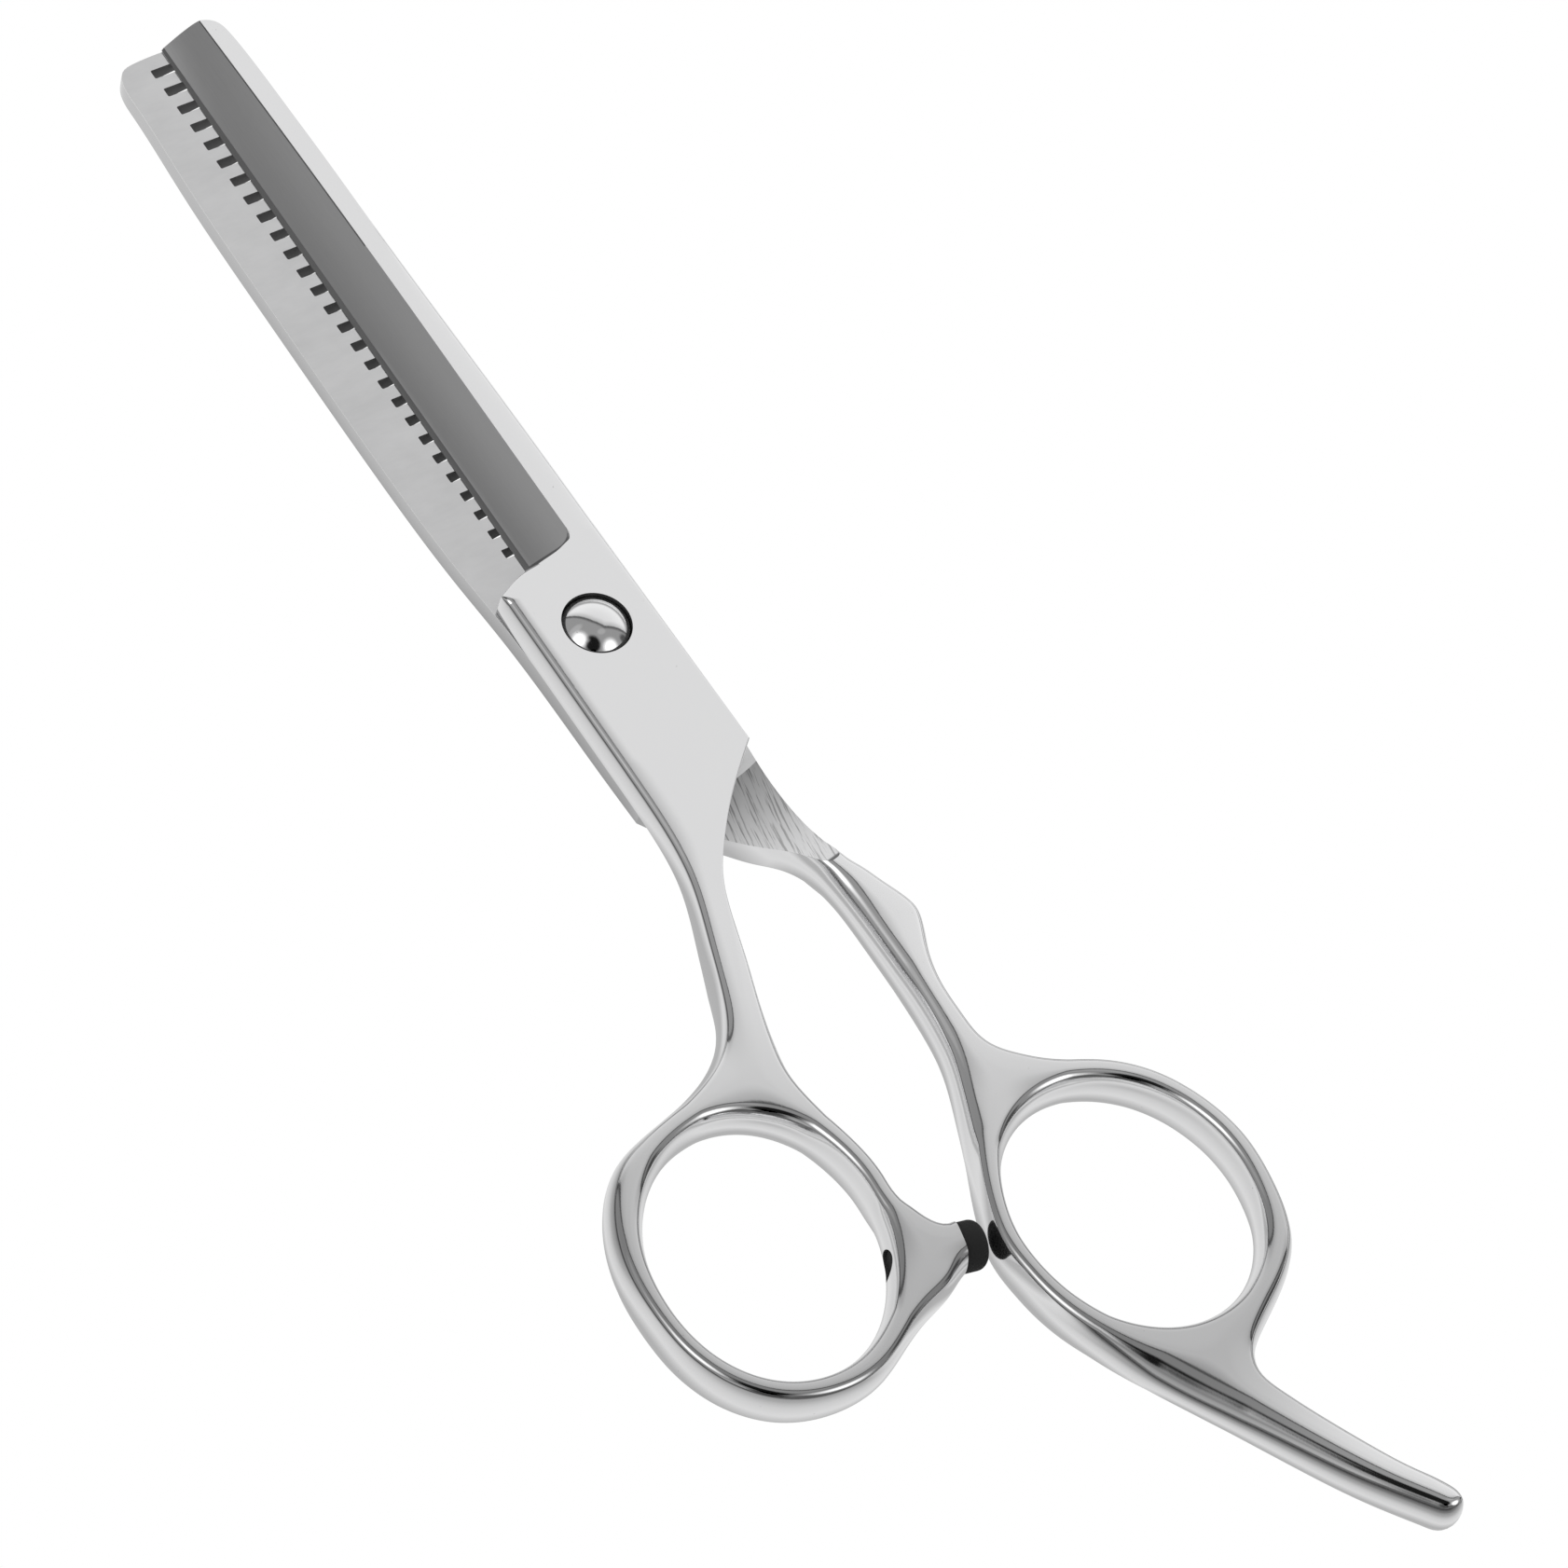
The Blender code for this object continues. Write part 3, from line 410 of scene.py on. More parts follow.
def ring_nodes(hole, edge_radius, *places):
    """Nodes outside a finger hole, by their stations and bands."""
    return [ring_node(hole, *node) for node in with_radius(places, edge_radius)]


def shank_nodes(hole, edge_radius, *places):
    """Nodes beside a shank, by x and the share of the way from the block to its finger hole."""
    way = hole[0][1] - BLOCK_END_Y
    return [(x, BLOCK_END_Y + share * way, edge) for x, share, edge in with_radius(places, edge_radius)]


def tang_nodes(edge_radius, *places):
    """Nodes of the tang, across from the finger hole and by the share of the tang's length."""
    places = [(x, -share * TANG_LENGTH, edge) for x, share, edge in with_radius(places, edge_radius)]
    return nodes_from(*FINGER_HOLE[0], edge_radius, *places)


def smooth_run(nodes):
    """Samples of the smooth cubic spline through a run of (x, y, edge radius) nodes."""
    nodes = np.array(nodes, float)
    count = len(nodes)
    if count == 2:
        return nodes
    spans = np.linalg.norm(np.diff(nodes[:, :2], axis=0), axis=1)
    matrix = np.eye(count)
    slopes = np.diff(nodes, axis=0) / spans[:, None]
    target = np.zeros_like(nodes)
    for i in range(1, count - 1):
        matrix[i, i - 1 : i + 2] = spans[i - 1], 2 * (spans[i - 1] + spans[i]), spans[i]
        target[i] = 6 * (slopes[i] - slopes[i - 1])
    bends = np.linalg.solve(matrix, target)
    samples = []
    for i, span in enumerate(spans):
        steps = max(3, math.ceil(span / SAMPLE_STEP))
        for t in np.arange(steps) / steps:
            a, b = 1 - t, t
            bend = (a**3 - a) * bends[i] + (b**3 - b) * bends[i + 1]
            samples.append(a * nodes[i] + b * nodes[i + 1] + bend * span**2 / 6)
    samples.append(nodes[-1])
    return np.array(samples)


def outline(*runs):
    """One closed outline from smooth runs, each from where the run before it ends."""
    starts = (runs[-1], *runs[:-1])
    return np.concatenate([smooth_run([start[-1], *run])[:-1] for start, run in zip(starts, runs)])


def hole_outline(hole, edge_radius):
    """A finger hole, clockwise, so that the metal is on its left as on an outline."""
    stations = 360 * np.arange(HOLE_FACETS, 0, -1) / HOLE_FACETS
    return np.array([ring_node(hole, s, 0.0, edge_radius) for s in stations])


def room_inside(loops):
    """How far each point of the loops can move inward before it reaches the middle line."""
    points = np.concatenate([loop[:, :2] for loop in loops])
    inward = np.concatenate([inset(loop, np.ones(len(loop))) - loop[:, :2] for loop in loops])
    inward /= np.linalg.norm(inward, axis=1)[:, None]
    away = points[None, :] - points[:, None]
    facing = np.einsum("ijk,ik->ij", away, inward)
    reach = np.sum(away**2, axis=2)
    balls = np.where(facing > TINY, reach / (2 * np.maximum(facing, TINY)), np.inf)
    return np.split(balls.min(axis=1), np.cumsum([len(loop) for loop in loops])[:-1])


def crowned(outer, hole):
    """Both loops with a crown width beside each edge radius, both held within the metal."""
    held = []
    for loop, room in zip((outer, hole), room_inside((outer, hole))):
        edges = np.minimum(loop[:, 2], ROUND_SHARE * room)
        crowns = np.minimum(CROWN_WIDTH * edges**2, ROOM_SHARE * room - edges)
        for _ in range(SMOOTHING):
            crowns = np.minimum(crowns, (np.roll(crowns, 1) + 2 * crowns + np.roll(crowns, -1)) / 4)
        held.append(np.column_stack([loop[:, :2], edges, crowns]))
    return held


def inset(loop, distances):
    """The loop moved to its left, by a distance of its own at each point."""
    edges = np.roll(loop, -1, axis=0)[:, :2] - loop[:, :2]
    edges /= np.linalg.norm(edges, axis=1)[:, None]
    left = np.stack([-edges[:, 1], edges[:, 0]], axis=1)
    before = np.roll(left, 1, axis=0)
    mitre = (left + before) / (1 + np.sum(left * before, axis=1))[:, None]
    return loop[:, :2] + mitre * distances[:, None]


def thumb_outline(side):
    """Plain blade, block, shank, thumb ring and bumper lug, counterclockwise."""
    hole, tip, top, left = THUMB_HOLE, BLADE_LENGTH, BLOCK_TOP_Y, -BLOCK_HALF_WIDTH
    lug_low, lug_high = LUG_Y - LUG_HALF_WIDTH, LUG_Y + LUG_HALF_WIDTH
    return outline(
        [(SPINE_X, GRIND_HEEL_Y, BLOCK_ROUND)],
        [
            *nodes_from(SPINE_X, 0, BLOCK_ROUND, (-0.1, 20), (-0.5, 40)),
            *nodes_from(SPINE_X, tip, TIP_ROUND, (-0.9, -12.5), (-0.95, -5.25), (-1.1, -2.35)),
            *nodes_from(SPINE_X, tip, TIP_ROUND, (-1.6, -0.65), (-2.7, 0), (-4.0, 0)),
            (EDGE_X + 0.15, tip - 0.75, CRISP),
        ],
        [(EDGE_X, tip - 8.75, CRISP)],
        [(EDGE_X, top, CRISP)],
        [
            *nodes_from(EDGE_X, top, CRISP, (-1.5, -0.2), (-2.9, -0.65)),
            *nodes_from(left, top, CRISP, (0.45, -1.25), (0, -1.45)),
        ],
        nodes_from(left, top, BLOCK_ROUND, (0, -1.8, 0.45), (0, -2.4)),
        [(left, -13, BLOCK_ROUND)],
        [
            *shank_nodes(hole, BLOCK_ROUND, (-6.1, 0.048), (-6.85, 0.215), (-8.55, 0.344)),
            *shank_nodes(hole, side, (-10.15, 0.452, BLOCK_ROUND), (-12.65, 0.555), (-15.5, 0.608)),
            *ring_nodes(hole, side, (120, 2.6), (140, 3.25), (160, 3.2), (180, 2.7), (200, 2.05)),
            *ring_nodes(hole, side, (220, 2.05), (240, 2.2), (260, 2.3), (280, 2.35), (300, 2.6)),
            *ring_nodes(hole, side, (320, 2.75)),
            *nodes_from(LUG_X, lug_low, side, (-5.6, -2.3), (-2.6, -1.2), (0, 0), (PAST, 0, CRISP)),
        ],
        [(LUG_X + PAST, lug_high, CRISP)],
        [
            *nodes_from(LUG_X, lug_high, side, (0, 0), (-0.9, 0.75), (-1.7, 2.5), (-2.35, 4.3)),
            *ring_nodes(hole, side, (22, 2.25), (40, 2.4)),
            *shank_nodes(hole, side, (-8.2, 0.813), (-8.75, 0.742), (-8.9, 0.689), (-8.45, 0.620)),
            *shank_nodes(hole, side, (-7.65, 0.524, 0.7), (-6.65, 0.443, 0.5), (-5.65, 0.356, 0.3)),
            *shank_nodes(hole, CRISP, (-4.65, 0.280), (-3.6, 0.230), (-2, 0.177), (0.1, 0.117)),
            (SPINE_X - 0.1, -15.6, CRISP),
        ],
    )


def comb_outline(side, shank, tang):
    """Comb blade, ride plate, shank, finger ring and tang, counterclockwise."""
    hole, tip, top = FINGER_HOLE, COMB_TIP_Y, BLOCK_TOP_Y
    return outline(
        [
            *tang_nodes(1.7, (7.1, 0.998, 1.8), (8.2, 1.003), (9.15, 0.988), (9.45, 0.959)),
            *tang_nodes(1.2, (9.15, 0.931, 1.5), (7.35, 0.857), (5.3, 0.763), (3.3, 0.658)),
            *tang_nodes(side, (1.5, 0.554), (0.95, 0.496), (1.7, 0.446), (3.3, 0.408)),
            *ring_nodes(hole, side, (-60, 2.85), (-40, 3.0), (-20, 2.4), (0, 2.35), (20, 2.3)),
            *ring_nodes(hole, side, (40, 2.45), (60, 2.6)),
            *shank_nodes(hole, side, (11.3, 0.707), (9.6, 0.680), (8, 0.642), (7.65, 0.588)),
            *shank_nodes(hole, side, (7.75, 0.526), (8.6, 0.459), (9.65, 0.412), (10, 0.383)),
            *shank_nodes(hole, side, (9.7, 0.355), (8.75, 0.312), (7.85, 0.272), (7.3, 0.252)),
            *shank_nodes(hole, BLOCK_ROUND, (6.65, 0.233), (6.3, 0.208), (6.08, 0.173)),
            *shank_nodes(hole, BLOCK_ROUND, (6, 0.116), (6.12, 0.042)),
            (PLATE_SIDE_X, -14, BLOCK_ROUND),
        ],
        [(PLATE_SIDE_X, top - 5, BLOCK_ROUND)],
        [
            *nodes_from(PLATE_SIDE_X, top, CRISP, (0, -1.9, 0.6), (-0.2, -1.1, 0.3), (-0.7, -0.65)),
            *nodes_from(TEETH_HEEL_X, top, CRISP, (1.5, -0.2), (0, 0)),
        ],
        [(TEETH_TIP_X, tip - 0.1, CRISP)],
        [
            (EDGE_X, tip, TIP_ROUND),
            *nodes_from(COMB_SPINE_X, tip, TIP_ROUND, (2.9, -0.1), (1.4, -0.55), (0.8, -1.65)),
            *nodes_from(COMB_SPINE_X, tip, TIP_ROUND, (0.6, -4), (0.25, -13)),
            *nodes_from(COMB_SPINE_X, 0, TIP_ROUND, (0, 42), (0, 22), (0.38, 11)),
            *nodes_from(0, 0, TIP_ROUND, (-6.22, 4.5), (-6.01, 0), (-5.85, -10)),
            (-5.5, -16.5, CRISP),
        ],
        [
            *shank_nodes(hole, side, (-4.6, 0.040, 0.4), (-0.45, 0.131, 0.45), (1.2, 0.164, 0.5)),
            *shank_nodes(hole, shank, (3, 0.200, 0.8), (4, 0.239, 1.1), (4.4, 0.279), (4.62, 0.383)),
            *shank_nodes(hole, shank, (4.62, 0.461), (4.33, 0.576), (3.9, 0.628), (2.25, 0.721)),
            *shank_nodes(hole, shank, (0.8, 0.790)),
            *nodes_from(*hole[0], 1.0, (-10.5, 7.7, 1.1), (-11.7, 4.6), (-12.4, 1.9), (-12.3, -1.2)),
            *nodes_from(*hole[0], tang, (-11.65, -5.2, 1.4), (-10.1, -9.5, 1.7), (-8.55, -12.8)),
            *tang_nodes(tang, (-3.6, 0.579), (-0.5, 0.718), (2.3, 0.837, 0.85 * tang)),
            *tang_nodes(0.72 * tang, (5.95, 0.967)),
        ],
    )


# Mesh helpers --------------------------------------------------------------


def link_mesh(name, bm, finishes=()):
    """Scales a bmesh from millimetres to metres and links it as an object."""
    bmesh.ops.scale(bm, vec=(MM, MM, MM), verts=bm.verts)
    bmesh.ops.recalc_face_normals(bm, faces=bm.faces)
    mesh = bpy.data.meshes.new(name)
    bm.to_mesh(mesh)
    bm.free()
    for finish in finishes:
        mesh.materials.append(finish)
    made = bpy.data.objects.new(name, mesh)
    bpy.context.scene.collection.objects.link(made)
    return made


def add_loop(bm, points, heights):
    """Vertices over the plan points, each at its own height."""
    return [bm.verts.new((x, y, z)) for (x, y), z in zip(points, heights)]


def join_loops(bm, low, high, material=0):
    """A band of faces between two closed loops."""
    for i in range(len(low)):
        j = (i + 1) % len(low)
        bm.faces.new((low[i], low[j], high[j], high[i])).material_index = material


def cap_loops(bm, loops):
    """Fills the flat between the loops."""
    edges = [bm.edges.get((loop[i - 1], loop[i])) for loop in loops for i in range(len(loop))]
    bmesh.ops.triangle_fill(bm, use_beauty=True, use_dissolve=False, edges=edges)


def edge_profile(edges, crowns, half):
    """Inset and drop from the face: down its crown, a tight arc and a slack one to mid height."""
    lean = math.radians(CROWN_TILT)
    slack = np.minimum(SLACK * edges**2, SLACK_LIMIT)
    knee = math.pi / 2 - 2 * np.arctan(slack)
    fall = crowns * math.tan(lean) / 2
    rise, spread = math.cos(lean) - np.cos(knee), np.sin(knee) - math.sin(lean)
    tight = (edges - slack * (half - fall)) / (spread - slack * rise)
    wide = (half - fall - tight * rise) / np.cos(knee)
    rows = []
    for share in np.arange(CROWN_STEPS) / CROWN_STEPS:
        rows.append((edges + crowns * (1 - share), fall * share**2))
    for share in np.arange(ROUND_STEPS + 1) / ROUND_STEPS:
        tilt = lean + (knee - lean) * share
        inward = edges - tight * (np.sin(tilt) - math.sin(lean))
        rows.append((inward, fall + tight * (math.cos(lean) - np.cos(tilt))))
    for share in np.arange(1, WALL_STEPS + 1) / WALL_STEPS:
        tilt = knee + (math.pi / 2 - knee) * share
        rows.append((wide * (1 - np.sin(tilt)), half - wide * np.cos(tilt)))
    return rows


def rounded_plate(name, loops, low, high, finish):
    """A plate over plan loops, its sides rounded by the width that each point holds."""
    bm = bmesh.new()
    bottoms, tops = [], []
    for loop in loops:
        rows = edge_profile(loop[:, 2], loop[:, 3], (high - low) / 2)
        rim = loop[:, 2] + loop[:, 3] + HOLD
        rings = [add_loop(bm, inset(loop, rim), [low] * len(loop))]
        for inward, drop in rows[:-1]:
            rings.append(add_loop(bm, inset(loop, inward), low + drop))
        for inward, drop in reversed(rows):
            rings.append(add_loop(bm, inset(loop, inward), high - drop))
        rings.append(add_loop(bm, inset(loop, rim), [high] * len(loop)))
        for lower, upper in zip(rings, rings[1:]):
            join_loops(bm, lower, upper)
        bottoms.append(rings[0])
        tops.append(rings[-1])
    cap_loops(bm, bottoms)
    cap_loops(bm, tops)
    return link_mesh(name, bm, [finish])


def add_prism(bm, points, low, high):
    """A straight prism over a plan outline, between two heights."""
    lower = add_loop(bm, points, [low] * len(points))
    upper = add_loop(bm, points, [high] * len(points))
    join_loops(bm, lower, upper)
    bm.faces.new(lower)
    bm.faces.new(upper)


def prism(name, points, low, high, finish):
    """A straight prism as an object."""
    bm = bmesh.new()
    add_prism(bm, points, low, high)
    return link_mesh(name, bm, [finish])


def rectangle(half_x, half_y):
    """A rectangle in plan round the pivot axis."""
    return [(-half_x, -half_y), (half_x, -half_y), (half_x, half_y), (-half_x, half_y)]


def turned(name, profile, finishes, facets=PIN_FACETS):
    """A turned body about Z from (radius, height, finish index) points, outside from the top down."""
    bm = bmesh.new()
    rows = []
    for radius, height, _ in profile:
        if radius == 0:
            rows.append([bm.verts.new((0, 0, height))] * facets)
        else:
            angles = 2 * math.pi * np.arange(facets) / facets
            spots = [(radius * math.cos(a), radius * math.sin(a), height) for a in angles]
            rows.append([bm.verts.new(spot) for spot in spots])
    pairs = list(zip(rows, rows[1:], profile))
    if profile[0][0] > 0:
        pairs.append((rows[-1], rows[0], profile[-1]))
    for upper, lower, (_, _, finish) in pairs:
        for i in range(facets):
            j = (i + 1) % facets
            corners = list(dict.fromkeys((upper[i], upper[j], lower[j], lower[i])))
            bm.faces.new(corners).material_index = finish
    return link_mesh(name, bm, finishes)


def drill(name, radius, top, bottom, finish, facets=PIN_FACETS):
    """The round cutter of a bore about Z."""
    corners = [(0, top), (radius, top), (radius, bottom), (0, bottom)]
    return turned(name, [(*corner, 0) for corner in corners], [finish], facets)


def cut(part, cutter, operation="DIFFERENCE"):
    """Applies a Boolean at once, brings the cutter's finish over, and clears it away."""
    step = part.modifiers.new(cutter.name, "BOOLEAN")
    step.operation = operation
    step.object = cutter
    step.solver = "EXACT"
    step.material_mode = "TRANSFER"
    apply_modifiers(part)
    bpy.data.objects.remove(cutter, do_unlink=True)


def apply_modifiers(part):
    """Bakes the part's modifiers into its mesh."""
    graph = bpy.context.evaluated_depsgraph_get()
    made = bpy.data.meshes.new_from_object(part.evaluated_get(graph))
    part.modifiers.clear()
    part.data = made


def shade(part, angle=12.0):
    """Smooth shading, with sharp edges above an angle in degrees."""
    part.data.shade_smooth()
    part.data.set_sharp_from_angle(angle=math.radians(angle))


# Cuts ----------------------------------------------------------------------


def ride_relief(name, start, end, ride_z, rim_z, finishes):
    """The space that the other half turns in: a flat floor, then a hollow ramp."""
    run = end - start
    profile = [(0.0, ride_z)]
    for k in range(RAMP_STEPS + 1):
        z = ride_z + (rim_z - ride_z) * (k / RAMP_STEPS) ** 2
        profile.append((start + run * k / RAMP_STEPS, z))
    beyond_z = rim_z + math.copysign(PAST, rim_z - ride_z)
    profile.append((end + RAMP_OVERRUN * run, beyond_z))
    profile.append((0.0, beyond_z))
    bm = bmesh.new()
    rows = []
    reach = BLADE_LENGTH + PAST
    sweep = [(angle, 0.0) for angle in range(180, 361, SWEEP_STEP)]
    for angle, offset in [(180, reach)] + sweep + [(360, reach)]:
        c, s = math.cos(math.radians(angle)), math.sin(math.radians(angle))
        rows.append([bm.verts.new((r * c, r * s + offset, z)) for r, z in profile])
    for near, far in zip(rows, rows[1:]):
        for i in range(len(profile) - 1):
            bm.faces.new((near[i], near[i + 1], far[i + 1], far[i])).material_index = int(i > 0)
    bm.faces.new(rows[0])
    bm.faces.new(rows[-1])
    bmesh.ops.remove_doubles(bm, verts=bm.verts, dist=MERGE)
    return link_mesh(name, bm, finishes)


def face_height(y, face_z, drop):
    """The height at y of a blade's outer face, which falls by drop to the tip."""
    run = BLADE_LENGTH - TIP_DROP_FROM_Y
    return face_z - drop * max(0.0, (y - TIP_DROP_FROM_Y) / run) ** 2


def blade_stations(start):
    """Places along a blade, from start to past its tip."""
    return list(np.linspace(start, BLADE_LENGTH + PAST, GRIND_STATIONS))


def taper_cutter(name, face_z, drop, finish):
    """Thins a blade towards its tip from its outer face; drop is its sign and size."""
    bm = bmesh.new()
    ys = blade_stations(TIP_DROP_FROM_Y)
    clear_z = face_z + math.copysign(PAST, drop)
    surface = [(y, face_height(y, face_z, drop)) for y in ys]
    profile = [(ys[0], clear_z)] + surface + [(ys[-1], clear_z)]
    wide = 2 * BLOCK_HALF_WIDTH
    sides = [[bm.verts.new((x, y, z)) for y, z in profile] for x in (-wide, wide)]
    join_loops(bm, sides[0], sides[1])
    bm.faces.new(sides[0])
    bm.faces.new(sides[1])
    return link_mesh(name, bm, [finish])


def grind_section(y, edge, ridge_x, face_z, drop, bevelled):
    """Across a blade: past its edge, up the small bevel, the hollow, past the ridge."""
    edge_x, edge_z = edge
    inward = math.copysign(1.0, ridge_x - edge_x)
    outward = math.copysign(1.0, drop)
    ridge = np.array([ridge_x, face_height(y, face_z, drop)])
    start = np.array([edge_x, edge_z])
    points = [start]
    if bevelled:
        bevel = np.array([inward * MICRO_BEVEL[0], outward * MICRO_BEVEL[1]])
        points.insert(0, start - 3 * bevel)
        start = start + bevel
        points[1] = start
    along = ridge - start
    length = np.linalg.norm(along)
    hollow = np.array([along[1], -along[0]]) / length
    if hollow[1] * outward > 0:
        hollow = -hollow
    for t in (*np.arange(1, SECTION_STEPS) / SECTION_STEPS, 1 - RIDGE_LINE):
        points.append(start + t * along + 4 * t * (1 - t) * GRIND_SAGITTA * hollow)
    slope = along - 4 * GRIND_SAGITTA * hollow
    points.append(ridge)
    points.append(ridge + slope / np.linalg.norm(slope) * PAST)
    if not bevelled:
        points.insert(0, points[0] - (points[1] - points[0]) * PAST)
    top = max(outward * p[1] for p in points) + PAST
    points.append(np.array([points[-1][0], outward * top]))
    points.append(np.array([points[0][0], outward * top]))
    return points


def grind_cutter(name, edge, ridge_x, face_z, drop, bevelled, finishes):
    """The hollow of a blade, a loft along it with a leaning, rounded shoulder at the heel.

    A bevelled blade also gets its edge bevel in a darker satin, and painted shade lines round
    the heel and at the ridge; its finishes are those of the hollow, the lines and the heel.
    """
    bm = bmesh.new()
    outward = math.copysign(1.0, drop)
    loops = []
    stations = blade_stations(GRIND_HEEL_Y)
    stations[1:3] = [stations[0] + HEEL_LINE]
    for k, y in enumerate(stations):
        loop = []
        for x, z in grind_section(y, edge, ridge_x, face_z, drop, bevelled):
            station = y
            if k <= 1:
                depth = outward * (face_z - z) / (FRONT_Z - THUMB_RIDE_Z)
                station += HEEL_SLANT * (x - edge[0]) - GRIND_SHOULDER * (1 - depth)
                turn = min(1.0, max(0.0, 1 - (ridge_x - x) / HEEL_ROUND)) if bevelled else 0.0
                station += HEEL_ROUND * (1 - math.sqrt(1 - turn**2))
            loop.append(bm.verts.new((x, station, z)))
        loops.append(loop)
    for k, (near, far) in enumerate(zip(loops, loops[1:])):
        join_loops(bm, near, far)
        if bevelled:
            bm.faces.ensure_lookup_table()
            strip = bm.faces[-len(near) :]
            ridge_strip = len(near) - 5  # the ridge and the three points beyond it follow
            # The bevel strip takes the darker satin; round the heel and along the ridge it paints shade
            # lines.
            dark = range(ridge_strip + 1) if k == 0 else [0]
            if stations[k] > RIDGE_LINE_FROM_Y:
                dark = [0, ridge_strip]
            for i in dark:
                strip[i].material_index = 1
    for loop, material in ((loops[0], len(finishes) - 1), (loops[-1], 0)):
        end = bm.faces.new(loop)
        end.material_index = material
        bmesh.ops.triangulate(bm, faces=[end])
    return link_mesh(name, bm, finishes)


def tooth_cutter(finish):
    """Every gap between the teeth, with rounded roots, and a notch in every tooth tip."""
    bm = bmesh.new()
    low, high = BACK_Z - PAST, REAR_RIDE_Z + PAST
    half = TOOTH_GAP_WIDTH / 2
    for k in range(TOOTH_GAPS):
        y = FIRST_GAP_Y + k * TOOTH_PITCH
        root = ROOT_HEEL_X + (ROOT_TIP_X - ROOT_HEEL_X) * k / (TOOTH_GAPS - 1)
        points = [(TEETH_HEEL_X + PAST, y - half), (TEETH_HEEL_X + PAST, y + half)]
        for side, start in ((1, 90), (-1, 180)):
            for turn in range(0, 91, ROOT_STEP):
                angle = math.radians(start + turn)
                c, s = ROOT_ROUND * math.cos(angle), ROOT_ROUND * math.sin(angle)
                points.append((root + ROOT_ROUND + c, y + side * (half - ROOT_ROUND) + s))
        add_prism(bm, points, low, high)
        if k:
            tip = TEETH_HEEL_X + (TEETH_TIP_X - TEETH_HEEL_X) * k / TOOTH_GAPS
            round_tip = [(math.cos(a), math.sin(a)) for a in np.radians(np.arange(0, 360, ROOT_STEP))]
            middle = y - TOOTH_PITCH / 2
            notch = [(tip + NOTCH_RADIUS * c, middle + NOTCH_RADIUS * s) for c, s in round_tip]
            add_prism(bm, notch, low, high)
    return link_mesh("tooth_gap_cutter", bm, [finish])


def place_on_lug(piece, gap):
    """Stands a piece that was turned about Z on the lug's end face, pointing to the finger ring."""
    turn = Matrix.Rotation(-math.radians(LUG_LEAN), 4, "Z") @ Matrix.Rotation(math.pi / 2, 4, "Y")
    centre_z = (FRONT_Z + BACK_Z) / 2
    seat = Matrix.Translation((LUG_X * MM, LUG_Y * MM, centre_z * MM))
    piece.data.transform(seat @ turn @ Matrix.Translation((0, 0, gap * MM)))


# Finishes ------------------------------------------------------------------


class Socket:
    """A shader socket that takes part in sums, so that maths reads as maths."""

    def __init__(self, tree, socket):
        self.tree = tree
        self.socket = socket

    def _math(self, operation, *values):
        made = self.tree.node("ShaderNodeMath", {"operation": operation}, *values)
        return Socket(self.tree, made.outputs[0])

    def __add__(self, other):
        return self._math("ADD", self, other)

    def __radd__(self, other):
        return self._math("ADD", other, self)

    def __sub__(self, other):
        return self._math("SUBTRACT", self, other)

    def __rsub__(self, other):
        return self._math("SUBTRACT", other, self)

    def __mul__(self, other):
        return self._math("MULTIPLY", self, other)

    def __rmul__(self, other):
        return self._math("MULTIPLY", other, self)

    def __truediv__(self, other):
        return self._math("DIVIDE", self, other)

    def __rtruediv__(self, other):
        return self._math("DIVIDE", other, self)

    def __pow__(self, other):
        return self._math("POWER", self, other)

    def __abs__(self):
        return self._math("ABSOLUTE", self)

    def least(self, other):
        return self._math("MINIMUM", self, other)


